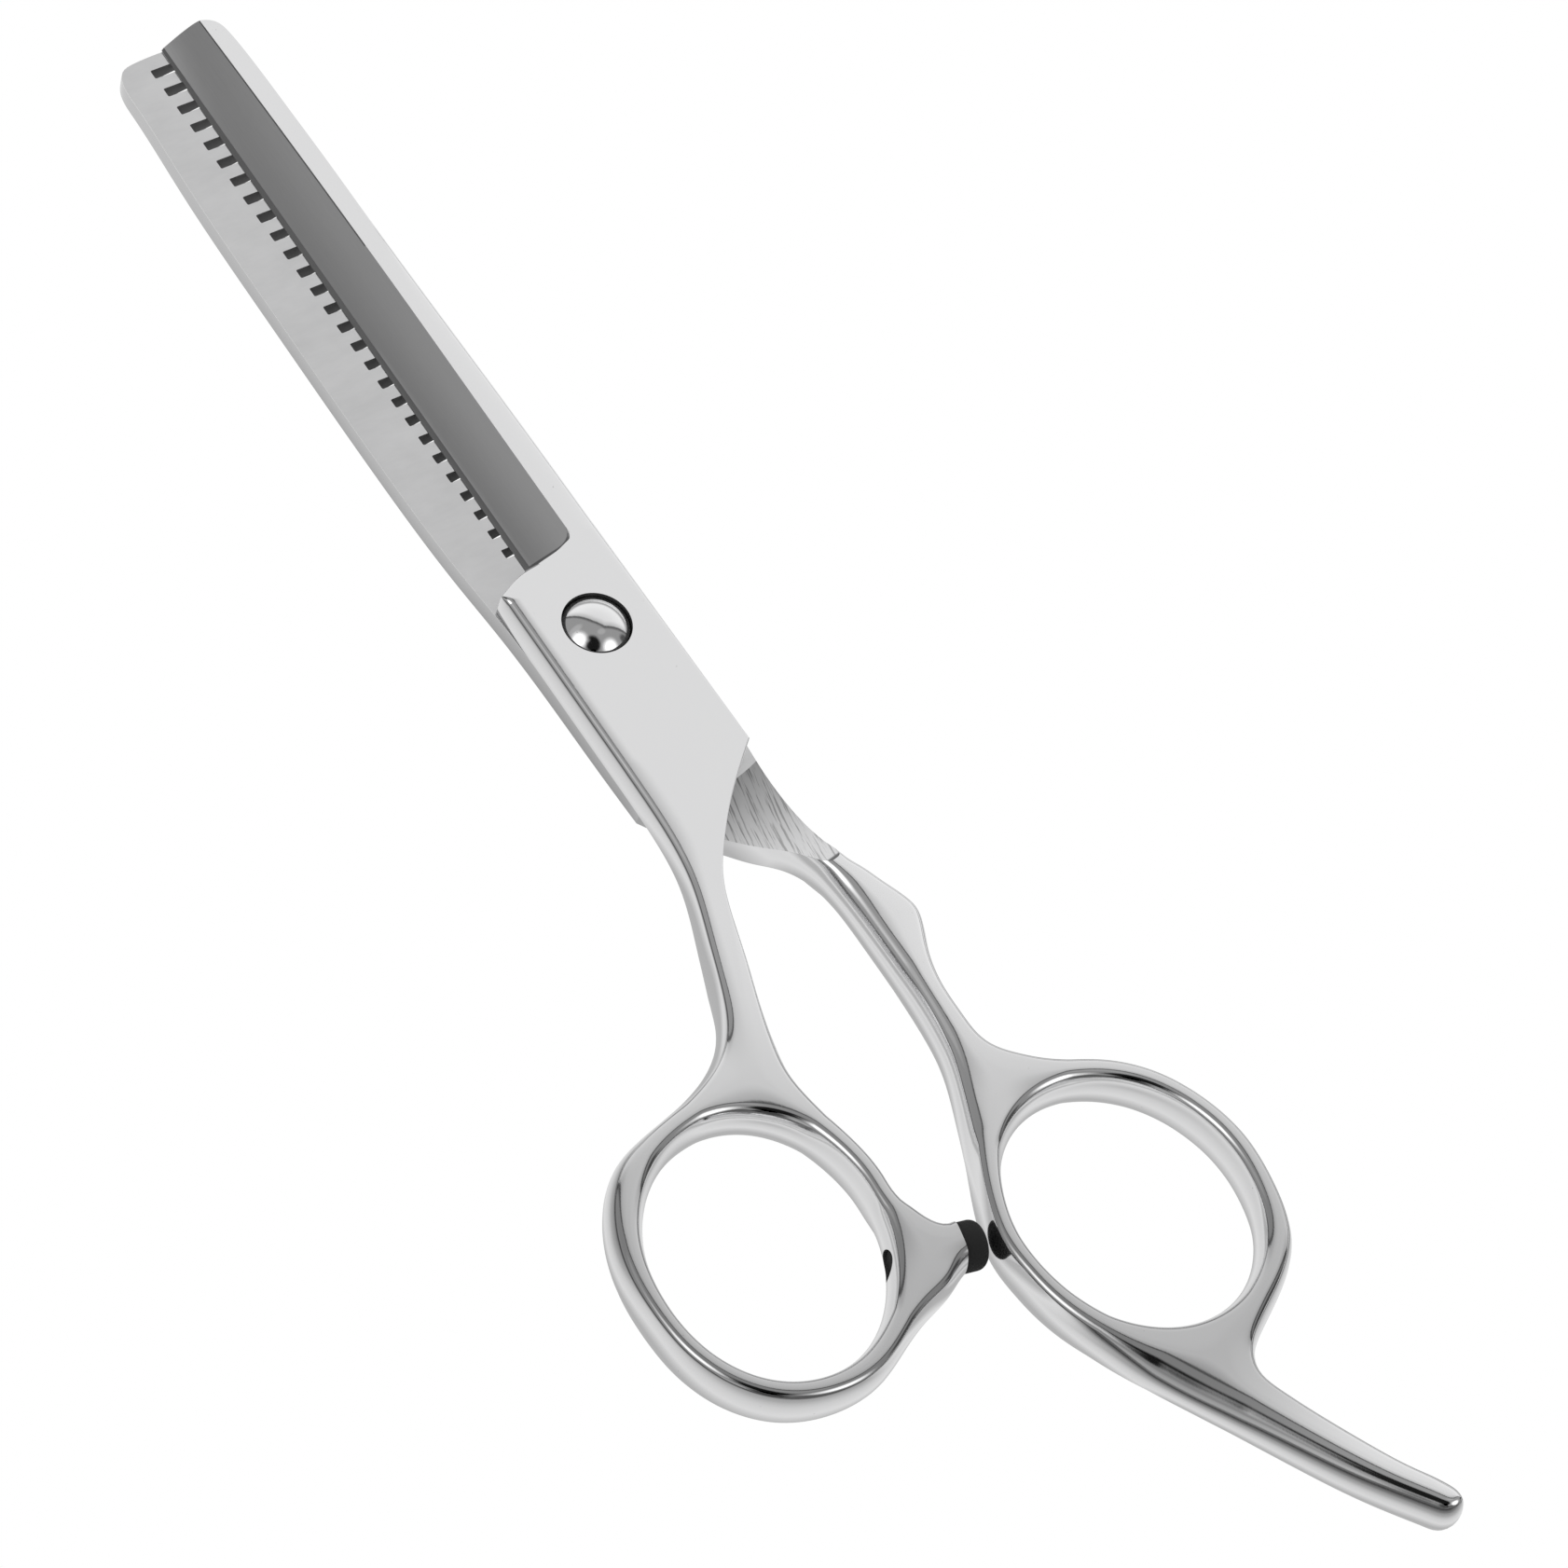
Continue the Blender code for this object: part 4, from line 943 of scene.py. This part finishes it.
class Tree:
    """A node tree with one way in for every kind of node."""

    def __init__(self, node_tree):
        self.nodes = node_tree.nodes
        self.links = node_tree.links

    def node(self, kind, settings=None, *values, **named):
        """Adds a node: its settings first, then the values or links of its sockets."""
        made = self.nodes.new(kind)
        for key, value in (settings or {}).items():
            if key == "stops":
                ramp = made.color_ramp
                while len(ramp.elements) < len(value):
                    ramp.elements.new(0.5)
                for element, (position, level) in zip(ramp.elements, value):
                    element.position = position
                    element.color = (level, level, level, 1.0)
            else:
                setattr(made, key, value)
        for index, value in enumerate(values):
            self.feed(made.inputs[index], value)
        for key, value in named.items():
            self.feed(made.inputs[key.replace("_", " ")], value)
        return made

    def feed(self, target, value):
        """Links a socket to the target, or sets its value."""
        if isinstance(value, Socket):
            self.links.new(value.socket, target)
        elif isinstance(value, bpy.types.NodeSocket):
            self.links.new(value, target)
        elif value is not None:
            target.default_value = value

    def out(self, kind, output, settings=None, *values, **named):
        return Socket(self, self.node(kind, settings, *values, **named).outputs[output])

    def split(self, vector):
        """The three parts of a vector."""
        parts = self.node("ShaderNodeSeparateXYZ", None, vector)
        return [Socket(self, output) for output in parts.outputs]

    def place(self):
        """Position on the piece, in metres."""
        return self.out("ShaderNodeTexCoord", "Object")

    def lines(self, scale, turn=0.0):
        """Fine ground lines: noise with a scale for each axis, turned in plan by degrees."""
        stretch = {"Rotation": (0.0, 0.0, math.radians(turn)), "Scale": scale}
        stretched = self.out("ShaderNodeMapping", "Vector", None, self.place(), **stretch)
        return self.noise(stretched, scale=1.0, detail=4.0, roughness=0.6)

    def noise(self, vector, scale, detail, roughness=0.5):
        settings = {"Scale": scale, "Detail": detail, "Roughness": roughness}
        return self.out("ShaderNodeTexNoise", "Fac", None, Vector=vector, **settings)

    def step(self, value, low, high):
        """0 below low, 1 above high, smooth between."""
        smooth = {"interpolation_type": "SMOOTHSTEP"}
        return self.out("ShaderNodeMapRange", "Result", smooth, value, From_Min=low, From_Max=high)

    def dot(self, vector, direction):
        return self.out("ShaderNodeVectorMath", "Value", {"operation": "DOT_PRODUCT"}, vector, direction)

    def mix(self, factor, a, b):
        """Between two colours."""
        made = self.node("ShaderNodeMix", {"data_type": "RGBA"})
        self.feed(made.inputs[0], factor)
        self.feed(made.inputs[6], a if isinstance(a, Socket) else (*a, 1.0))
        self.feed(made.inputs[7], b if isinstance(b, Socket) else (*b, 1.0))
        return Socket(self, made.outputs[2])


def new_finish(name, metallic=0.0):
    """A material with a Principled shader, its tree and the shader."""
    material = bpy.data.materials.new(name)
    material.use_nodes = True
    shader = material.node_tree.nodes["Principled BSDF"]
    shader.inputs["Metallic"].default_value = metallic
    return material, Tree(material.node_tree), shader


def dress(tree, shader, colour, roughness, height=None, strength=0.0, depth=0.00004):
    """Feeds a Principled shader; the height's bump has a strength and a depth in metres."""
    tree.feed(shader.inputs["Base Color"], colour)
    tree.feed(shader.inputs["Roughness"], roughness)
    if height:
        amount = {"Strength": strength, "Distance": depth}
        bump = tree.out("ShaderNodeBump", "Normal", None, Height=height, **amount)
        tree.feed(shader.inputs["Normal"], bump)


def scaled(colour, factor):
    return tuple(channel * factor for channel in colour)


def polished_steel(name, finish):
    """Mirror polish with a faint grain of polishing lines and a few pits, and painted shade on the handles'
    faces and on the comb half beside the block.
    """
    material, tree, shader = new_finish(name, metallic=1.0)
    place = tree.place()
    cloud = tree.noise(place, scale=160.0, detail=4.0)
    along_blades = tree.out("ShaderNodeMapping", "Vector", None, place, Scale=(300.0, 60.0, 300.0))
    grain = tree.noise(along_blades, scale=40.0, detail=3.0)
    pits = tree.step(tree.noise(place, scale=2600.0, detail=1.0), 0.80, 0.84)
    # Painted shade: the upward faces of the handles darken away from the pivot and lighten again down the
    # finger rest.
    toward_rings = tree.step(tree.dot(place, HANDLE_WAY), *HANDLE_FADE)
    upward = tree.step(tree.dot(tree.out("ShaderNodeNewGeometry", "Normal"), Z_WAY), *FACE_UP)
    before_rest = tree.step(tree.dot(place, Y_WAY), *REST_FADE)
    handle_shade = toward_rings * before_rest * upward
    steel = tree.mix(handle_shade, tuple(finish.steel), scaled(finish.steel, HANDLE_SHADE_TONE))
    # Painted shade of the block on the comb half, below its ride face.
    ride_z = REAR_RIDE_Z * MM
    under = 1.0 - tree.step(tree.dot(place, Z_WAY), ride_z - SHADE_DEPTH, ride_z)
    beside_block = under * tree.step(tree.dot(place, Y_WAY), *SHADE_END)
    steel = tree.mix(beside_block, steel, scaled(finish.steel, SHADE_TONE))
    colour = tree.mix(pits * 0.5, steel, scaled(finish.steel, 0.3))
    roughness = finish.polish + 0.03 * cloud + 0.02 * grain
    dress(tree, shader, colour, roughness, grain * 0.4 + cloud * 0.6, strength=0.02, depth=0.0002)
    return material


def satin_steel(name, finish, tone, roughness, scale, turn=0.0, depth=0.12):
    """Ground steel with fine lines along one direction in plan."""
    material, tree, shader = new_finish(name, metallic=1.0)
    lines = tree.lines(scale, turn)
    cloud = tree.noise(tree.place(), scale=220.0, detail=3.0)
    base = scaled(finish.steel, tone)
    colour = tree.mix(lines * 0.45 + cloud * 0.45, base, scaled(base, 0.78))
    dress(tree, shader, colour, roughness + 0.08 * cloud, lines, strength=depth)
    return material


def hollow_grind(name, finish):
    """The wheel-ground hollows of both blades, a little lighter towards the tips."""
    material, tree, shader = new_finish(name, metallic=1.0)
    lines = tree.lines(GROUND_LINES)
    cloud = tree.noise(tree.place(), scale=220.0, detail=3.0)
    tip = tree.step(tree.dot(tree.place(), Y_WAY), *TIP_FADE)
    tone = tree.mix(tip, scaled(finish.steel, 0.54), scaled(finish.steel, 0.66))
    colour = tree.mix(lines * 0.35 + cloud * 0.2, tone, scaled(finish.steel, 0.44))
    dress(tree, shader, colour, finish.satin + 0.08 * cloud, lines, strength=0.08)
    return material


def brushed_ramp(name, finish):
    """Coarse grinding lines down the hollow ramp of the comb half, with painted shade at its start that
    fades up the ramp, and a painted dark line at its rim.
    """
    material, tree, shader = new_finish(name, metallic=1.0)
    place = tree.place()
    across = tree.dot(place, scaled(X_WAY, 1 / MM))
    along = tree.dot(place, scaled(Y_WAY, 1 / MM))
    bow = across - along * 0.25
    brushed = tree.out("ShaderNodeCombineXYZ", "Vector", None, bow * 4.5, along * 0.22, 0.0)
    lines = tree.noise(brushed, scale=1.0, detail=3.0, roughness=0.6)
    from_pivot = (across * across + along * along) ** 0.5
    # Painted shade at the start of the ramp, fading as it rises.
    light = tree.step(from_pivot, RAMP_START - 1.0, RAMP_END - 1.0)
    tone = tree.mix(light, scaled(finish.steel, 0.42), scaled(finish.steel, 0.92))
    scratch = tree.mix(light, scaled(finish.steel, 0.2), scaled(finish.steel, 0.55))
    ground = tree.mix(tree.step(lines, 0.5, 0.62), tone, scratch)
    # Painted dark line along the ramp's rim.
    rim = tree.step(from_pivot, RAMP_END - 0.45, RAMP_END - 0.2)
    colour = tree.mix(rim, ground, scaled(finish.steel, 0.2))
    dress(tree, shader, colour, 0.26 + 0.1 * lines, lines, strength=0.12)
    return material


def unpolished(name, finish):
    """Unpolished steel, painted dark as shade, in the tooth gaps, the screw's recess and the bumper's bore.
    """
    material, tree, shader = new_finish(name, metallic=0.6)
    cloud = tree.noise(tree.place(), scale=1500.0, detail=4.0)
    # Painted shade: the recesses are far darker than the steel.
    colour = tree.mix(cloud, scaled(finish.steel, 0.09), scaled(finish.steel, 0.2))
    dress(tree, shader, colour, 0.5 + 0.2 * cloud)
    return material


def moulded(name, colour, roughness, grain_scale, bump):
    """Nylon or rubber with a fine moulded grain."""
    material, tree, shader = new_finish(name)
    grain = tree.noise(tree.place(), grain_scale, detail=5.0, roughness=0.6)
    mottled = tree.mix(grain, scaled(colour, 0.93), scaled(colour, 1.07))
    dress(tree, shader, mottled, roughness + 0.15 * grain, grain, strength=bump, depth=0.00005)
    return material


def named(name, make, *arguments, **settings):
    """The finish of that name, made the first time it is asked for."""
    return bpy.data.materials.get(name) or make(name, *arguments, **settings)


def forged_finishes(finish):
    """The finishes that the halves share: polish, ride face, hollow grind, and unpolished steel painted dark
    as shade.
    """
    brushed = {"tone": 0.9, "roughness": 0.26, "scale": BRUSHED_LINES, "turn": 12.0, "depth": 0.05}
    return (
        named("polished_steel", polished_steel, finish),
        named("ride_face", satin_steel, finish, **brushed),
        named("hollow_grind", hollow_grind, finish),
        named("unpolished", unpolished, finish),
    )


# Pieces --------------------------------------------------------------------


class SHEARS_OT_thumb_half(bpy.types.Operator):
    """Forge and grind the plain half: blade, block, shank and thumb ring"""

    bl_idname = "shears.thumb_half"
    bl_label = "Thumb half"

    def execute(self, context):
        form, finish = context.scene.shears_form, context.scene.shears_finish
        steel, inside, satin, dark = forged_finishes(finish)
        # Darker satin for the edge bevel, which also paints the shade lines round the heel and at the ridge.
        bevel = named("edge_bevel", satin_steel, finish, tone=0.25, roughness=0.3, scale=GROUND_LINES)
        loops = crowned(thumb_outline(form.side_round), hole_outline(THUMB_HOLE, form.hole_round))
        half = rounded_plate("thumb_half_forged", loops, BACK_Z, FRONT_Z, steel)
        cut(half, prism("lug_face", self.beyond_lug(), BACK_Z - PAST, FRONT_Z + PAST, steel))
        ramp = THUMB_RAMP_START, THUMB_RAMP_END
        cut(half, ride_relief("thumb_ride_relief", *ramp, THUMB_RIDE_Z, BACK_Z, [inside, steel]))
        cut(half, taper_cutter("thumb_taper", FRONT_Z, THUMB_TIP_DROP, steel))
        blade = (EDGE_X, THUMB_RIDE_Z), RIDGE_X, FRONT_Z, THUMB_TIP_DROP, True
        cut(half, grind_cutter("thumb_grind", *blade, [satin, bevel, steel]))
        recess, floor_z = SCREW_HIGH[0] + RECESS_CLEARANCE, WASHER_LOW[2] - SEAT_GAP
        cut(half, drill("head_recess", recess, FRONT_Z + PAST, floor_z, dark))
        cut(half, drill("bush_bore", BUSH_HIGH[0] + RUNNING_GAP, FRONT_Z, BACK_Z - PAST, inside))
        depth = LUG_X - THUMB_HOLE[0][0]
        hole = drill("stem_bore", STEM_RADIUS + BORE_CLEARANCE, PAST, -depth, dark, STEM_FACETS)
        place_on_lug(hole, 0.0)
        cut(half, hole)
        shade(half)
        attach(half, "thumb_side")
        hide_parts("thumb_half")
        return {"FINISHED"}

    def beyond_lug(self):
        """The space beyond the lug's end face, in plan."""
        side, end = LUG_HALF_WIDTH + PAST, LUG_X + 2 * PAST
        slant = side * math.tan(math.radians(LUG_LEAN))
        low, high = LUG_Y - side, LUG_Y + side
        return [(LUG_X - slant, low), (end, low), (end, high), (LUG_X + slant, high)]


class SHEARS_OT_comb_half(bpy.types.Operator):
    """Forge and grind the toothed half: comb, ride plate, shank, finger ring and rest"""

    bl_idname = "shears.comb_half"
    bl_label = "Comb half"

    def execute(self, context):
        form, finish = context.scene.shears_form, context.scene.shears_finish
        steel, inside, satin, dark = forged_finishes(finish)
        coarse = named("brushed_ramp", brushed_ramp, finish)
        outer = comb_outline(form.side_round, form.shank_round, form.tang_round)
        loops = crowned(outer, hole_outline(FINGER_HOLE, form.hole_round))
        half = rounded_plate("comb_half_forged", loops, BACK_Z, FRONT_Z, steel)
        ramp = RAMP_START, RAMP_END
        cut(half, ride_relief("comb_ride_relief", *ramp, REAR_RIDE_Z, FRONT_Z, [inside, coarse]))
        cut(half, taper_cutter("comb_taper", BACK_Z, -COMB_TIP_DROP, steel))
        edge = (TEETH_HEEL_X, REAR_RIDE_Z - COMB_EDGE_THICKNESS)
        blade = edge, COMB_RIDGE_X, BACK_Z, -COMB_TIP_DROP, False
        cut(half, grind_cutter("comb_grind", *blade, [satin]))
        cut(half, tooth_cutter(dark))
        key = KEY_HALF + RUNNING_GAP
        cut(half, prism("key_hole", rectangle(key, key), BACK_Z - PAST, REAR_RIDE_Z + PAST, inside))
        shade(half)
        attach(half, "comb_side")
        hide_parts("comb_half")
        return {"FINISHED"}


class SHEARS_OT_pivot(bpy.types.Operator):
    """Turn the domed screw, its washer and bush, the spring washer and the nut"""

    bl_idname = "shears.pivot"
    bl_label = "Pivot"

    def execute(self, context):
        finish = context.scene.shears_finish
        steel = named("polished_steel", polished_steel, finish)
        satin = named("turned_steel", satin_steel, finish, tone=0.8, roughness=0.3, scale=TURNED_LINES)
        self.screw(steel, satin)
        self.rings(finish, satin)
        self.nut(satin)
        return {"FINISHED"}

    def screw(self, steel, satin):
        """Dome head, round neck, square key and rings for the thread."""
        radius, top = SCREW_HIGH[0], SCREW_HIGH[2]
        sphere = (radius**2 + HEAD_CROWN**2) / (2 * HEAD_CROWN)
        slope = math.asin(radius / sphere)
        rim_z, base_z, neck_z = top - HEAD_CROWN, WASHER_HIGH[2] + SEAT_GAP, REAR_RIDE_Z + SEAT_GAP
        dome = []
        for k in range(DOME_STEPS):
            angle = slope * k / DOME_STEPS
            dome.append((sphere * math.sin(angle), top - sphere * (1 - math.cos(angle)), 0))
        neck = BUSH_HIGH[0] - BUSH_WALL - RUNNING_GAP
        stem = [(radius, rim_z - HEAD_RIM[1]), (radius, base_z), (neck, base_z), (neck, neck_z)]
        stem.append((THREAD_RADIUS, neck_z))
        z = BACK_Z
        while z > THREAD_LOW_Z:
            stem += [(THREAD_RADIUS, z), (THREAD_RADIUS - THREAD_DEPTH, z - THREAD_PITCH / 2)]
            z -= THREAD_PITCH
        stem += [(THREAD_RADIUS, THREAD_CHAMFER), (THREAD_RADIUS - THREAD_CHAMFER, 0), (0, 0)]
        profile = dome + [(radius - HEAD_RIM[0], rim_z, 0)] + [(*corner, 1) for corner in stem]
        screw = turned("pivot_screw_turned", profile, [steel, satin])
        square = rectangle(KEY_HALF, KEY_HALF)
        cut(screw, prism("screw_key", square, BACK_Z + SEAT_GAP, neck_z + SEAT_GAP, satin), "UNION")
        shade(screw, 20.0)
        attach(screw, "comb_side")
        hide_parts("pivot_screw")

    def ring(self, name, inner, low, high, outer, finish):
        """A ring with eased outer edges; inner holds its points inside, from below upward."""
        edge = RING_EDGE
        corners = [(outer - edge, high), (outer, high - edge), (outer, low + edge), (outer - edge, low)]
        return turned(name, [(*corner, 0) for corner in corners + inner], [finish])

    def rings(self, finish, satin):
        """The nylon washer and bush, and the dished spring washer."""
        nylon = named("nylon", moulded, tuple(finish.nylon), roughness=0.45, grain_scale=4000.0, bump=0.1)
        bore = BUSH_HIGH[0] - BUSH_WALL
        low, high = WASHER_LOW[2], WASHER_HIGH[2]
        washer = self.ring("head_washer_ring", [(bore, low), (bore, high)], low, high, WASHER_HIGH[0], nylon)
        low, high = BUSH_LOW[2], BUSH_HIGH[2]
        bush = self.ring("pivot_bush_sleeve", [(bore, low), (bore, high)], low, high, BUSH_HIGH[0], nylon)
        bore, low, high = THREAD_RADIUS + RUNNING_GAP, SPRING_LOW[2], SPRING_HIGH[2]
        inner = [(bore, low), (bore, low + SPRING_THICKNESS)]
        rim = high - SPRING_THICKNESS, high, SPRING_HIGH[0]
        spring = self.ring("spring_washer_dished", inner, *rim, satin)
        for piece, body, node, slot in (
            (washer, "thumb_side", "head_washer", "washer_nylon"),
            (bush, "thumb_side", "pivot_bush", "bush_nylon"),
            (spring, "comb_side", "spring_washer", "spring_steel"),
        ):
            shade(piece, 30.0)
            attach(piece, body)
            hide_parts(node)

    def nut(self, satin):
        """The round nut, with a slot across its back for a flat key."""
        radius, high, bore = NUT_HIGH[0], NUT_HIGH[2], THREAD_RADIUS + RUNNING_GAP
        corners = [(radius - NUT_EDGE, high), (radius, high - NUT_EDGE), (radius, NUT_CHAMFER)]
        corners += [(radius - NUT_CHAMFER, 0), (bore + NUT_BORE_CHAMFER, 0), (bore, NUT_BORE_CHAMFER)]
        profile = [(*corner, 0) for corner in corners + [(bore, high)]]
        nut = turned("tension_nut_slotted", profile, [satin])
        slot = rectangle(radius + PAST, NUT_SLOT_HALF)
        cut(nut, prism("key_slot", slot, -PAST, NUT_SLOT_DEPTH, satin))
        shade(nut, 25.0)
        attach(nut, "nut")
        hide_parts("tension_nut")


class SHEARS_OT_bumper(bpy.types.Operator):
    """Mould the rubber bumper on the lug of the thumb ring"""

    bl_idname = "shears.bumper"
    bl_label = "Bumper"

    def execute(self, context):
        colour = tuple(context.scene.shears_finish.rubber)
        rubber = named("bumper_rubber", moulded, colour, roughness=0.42, grain_scale=5200.0, bump=0.06)
        radius = (BUMPER_HIGH[1] - BUMPER_LOW[1]) / 2
        corners = [(0, BUMPER_LENGTH), (BUMPER_TOP[0], BUMPER_LENGTH - BUMPER_TOP[1])]
        for k in range(ROUND_STEPS + 1):
            angle = math.pi / 2 * k / ROUND_STEPS
            inward, drop = BUMPER_ROUND * (1 - math.sin(angle)), BUMPER_ROUND * (1 - math.cos(angle))
            corners.append((radius - inward, BUMPER_LENGTH - BUMPER_CROWN - drop))
        corners += [(radius, BUMPER_FOOT[1]), (radius - BUMPER_FOOT[0], 0), (STEM_RADIUS, 0)]
        corners += [(STEM_RADIUS, -STEM_LENGTH), (0, -STEM_LENGTH)]
        profile = [(*corner, 0) for corner in corners]
        bumper = turned("rubber_bumper_moulded", profile, [rubber], BUMPER_FACETS)
        place_on_lug(bumper, SEAT_GAP)
        shade(bumper, 30.0)
        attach(bumper, "thumb_side")
        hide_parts("rubber_bumper")
        return {"FINISHED"}


class SHEARS_OT_stage(bpy.types.Operator):
    """Lay the table, light the studio and set up the camera"""

    bl_idname = "shears.stage"
    bl_label = "Stage"

    def execute(self, context):
        studio = context.scene.shears_studio
        self.table(studio)
        self.light(studio)
        self.camera(context)
        context.scene.view_settings.view_transform = "Standard"
        return {"FINISHED"}

    def table(self, studio):
        """A white table; mirror images show it light by the shears and on the far side."""
        bm = bmesh.new()
        bmesh.ops.create_grid(bm, x_segments=1, y_segments=1, size=TABLE_HALF_SIZE)
        material, tree, shader = new_finish("table_white")
        dress(tree, shader, (*studio.floor, 1.0), TABLE_ROUGHNESS)
        path = tree.node("ShaderNodeLightPath")
        kinds = ("Is Camera Ray", "Is Glossy Ray", "Is Transmission Ray")
        seen, glossy, passed = (Socket(tree, path.outputs[kind]) for kind in kinds)
        stops = [(d / POOL_REACH, level) for d, level in POOL_LEVELS]
        away = self.away_from_shears(tree) / POOL_REACH
        mirrored = tree.out("ShaderNodeValToRGB", 0, {"stops": stops}, away)
        far_side = tree.step(tree.dot(tree.place(), FAR_WAY), *FAR_SIDE)
        mirrored = mirrored + far_side * (FAR_LEVEL - mirrored)
        strength = seen + (1.0 - seen) * mirrored
        white = tree.node("ShaderNodeEmission", None, (1.0, 1.0, 1.0, 1.0), strength)
        most = {"operation": "MAXIMUM", "use_clamp": True}
        factor = tree.out("ShaderNodeMath", 0, most, seen + glossy, passed)
        mixed = tree.node("ShaderNodeMixShader", None, factor, shader.outputs[0], white.outputs[0])
        output = next(n for n in tree.nodes if n.type == "OUTPUT_MATERIAL")
        tree.feed(output.inputs["Surface"], mixed.outputs[0])
        table = link_mesh("table", bm, [material])
        table.location.z = -TABLE_DROP * MM

    def away_from_shears(self, tree):
        """Distance on the table from the outline of the shears, in millimetres."""
        x, y = (part * (1 / MM) for part in tree.split(tree.place())[:2])
        nearest = None
        for (x0, y0), (x1, y1), half_width in BARS:
            dx, dy = x1 - x0, y1 - y0
            along = ((x - x0) * dx + (y - y0) * dy) * (1 / (dx * dx + dy * dy))
            along = tree.out("ShaderNodeClamp", "Result", None, along)
            east, north = x - x0 - along * dx, y - y0 - along * dy
            away = (east * east + north * north) ** 0.5 - half_width
            nearest = away if nearest is None else nearest.least(away)
        for (cx, cy), (half_width, half_length), _ in (THUMB_HOLE, FINGER_HOLE):
            east, north = x - cx, y - cy
            middle = (half_width + half_length) / 2 + RING_HALF_BAND
            away = abs((east * east + north * north) ** 0.5 - middle) - RING_HALF_BAND
            nearest = nearest.least(away)
        return nearest

    def light(self, studio):
        """A light tent on the far side, two softboxes near the camera, dark room between."""
        world = bpy.data.worlds.new("studio")
        bpy.context.scene.world = world
        world.use_nodes = True
        tree = Tree(world.node_tree)
        background = world.node_tree.nodes["Background"]
        tree.feed(background.inputs["Color"], (1.0, 1.0, 1.0, 1.0))
        x, y, z = tree.split(tree.out("ShaderNodeTexCoord", "Generated"))
        flat = (x * x + y * y + OVERHEAD) ** 0.5
        polar = tree.out("ShaderNodeMath", 0, {"operation": "ARCCOSINE"}, z) * math.degrees(1)
        east, north = x / flat * polar, y / flat * polar
        inside = None
        for (east_0, north_0), (right, far) in TENT_SIDES:
            away = (east - east_0) * right + (north - north_0) * far
            inside = away if inside is None else inside.least(away)
        tent = tree.step(inside, *TENT_EDGE)
        tent_level = studio.tent - TENT_RISE * (1.0 - tree.step(inside, 0.0, TENT_RISE_WIDTH))
        tent_level = tent_level + TENT_LOW_RISE * tree.step(polar, *TENT_LOW)
        room = ROOM_LEVEL
        for centre, size, core, change in LOBES:
            room = room + change * self.lobe(tree, east, north, centre, size, core)
        room = room * (1.0 - SEAM_DARK * tree.step(inside, *SEAM))
        level = tent * tent_level + (1.0 - tent) * room
        for centre, size in SOFTBOXES:
            level = level + studio.softbox * self.lobe(tree, east, north, centre, size)
        level = level * (1.0 - HORIZON_DARK * tree.step(polar, *HORIZON_BELT))
        tree.feed(background.inputs["Strength"], level)

    def lobe(self, tree, east, north, centre, size, core=0.0):
        """1 inside an oval of the chart, falling to 0 at its rim from the core outward."""
        across, along = (east - centre[0]) / size[0], (north - centre[1]) / size[1]
        return 1.0 - tree.step((across * across + along * along) ** 0.5, core, 1.0)

    def camera(self, context):
        """A long lens above the left of the pivot."""
        data = bpy.data.cameras.new("camera")
        data.sensor_width = SENSOR_WIDTH
        data.lens = LENS
        data.clip_start = CLIP_START
        camera = bpy.data.objects.new("camera", data)
        context.scene.collection.objects.link(camera)
        right = Vector(CAMERA_RIGHT).normalized()
        back = Vector(CAMERA_BACK)
        back = (back - back.dot(right) * right).normalized()
        turn = Matrix((right, back.cross(right), back)).transposed().to_4x4()
        camera.matrix_world = Matrix.Translation(CAMERA_PLACE) @ turn
        context.scene.camera = camera


class SHEARS_PT_panel(bpy.types.Panel):
    """Everything that builds the shears, in order"""

    bl_label = "Thinning Shears"
    bl_idname = "SHEARS_PT_panel"
    bl_space_type = "VIEW_3D"
    bl_region_type = "UI"
    bl_category = "Shears"

    def draw(self, context):
        scene = context.scene
        for group in (scene.shears_form, scene.shears_finish, scene.shears_studio):
            for name in group.__annotations__:
                self.layout.prop(group, name)
        for operator in OPERATORS:
            self.layout.operator(operator.bl_idname)


OPERATORS = (
    SHEARS_OT_thumb_half,
    SHEARS_OT_comb_half,
    SHEARS_OT_pivot,
    SHEARS_OT_bumper,
    SHEARS_OT_stage,
)
CLASSES = (ShearsForm, ShearsFinish, ShearsStudio) + OPERATORS + (SHEARS_PT_panel,)


def register():
    for cls in CLASSES:
        bpy.utils.register_class(cls)
    bpy.types.Scene.shears_form = bpy.props.PointerProperty(type=ShearsForm)
    bpy.types.Scene.shears_finish = bpy.props.PointerProperty(type=ShearsFinish)
    bpy.types.Scene.shears_studio = bpy.props.PointerProperty(type=ShearsStudio)


def unregister():
    del bpy.types.Scene.shears_studio
    del bpy.types.Scene.shears_finish
    del bpy.types.Scene.shears_form
    for cls in reversed(CLASSES):
        bpy.utils.unregister_class(cls)


def main():
    register()
    bpy.ops.shears.thumb_half()
    bpy.ops.shears.comb_half()
    bpy.ops.shears.pivot()
    bpy.ops.shears.bumper()
    bpy.ops.shears.stage()


if __name__ == "__main__":
    main()
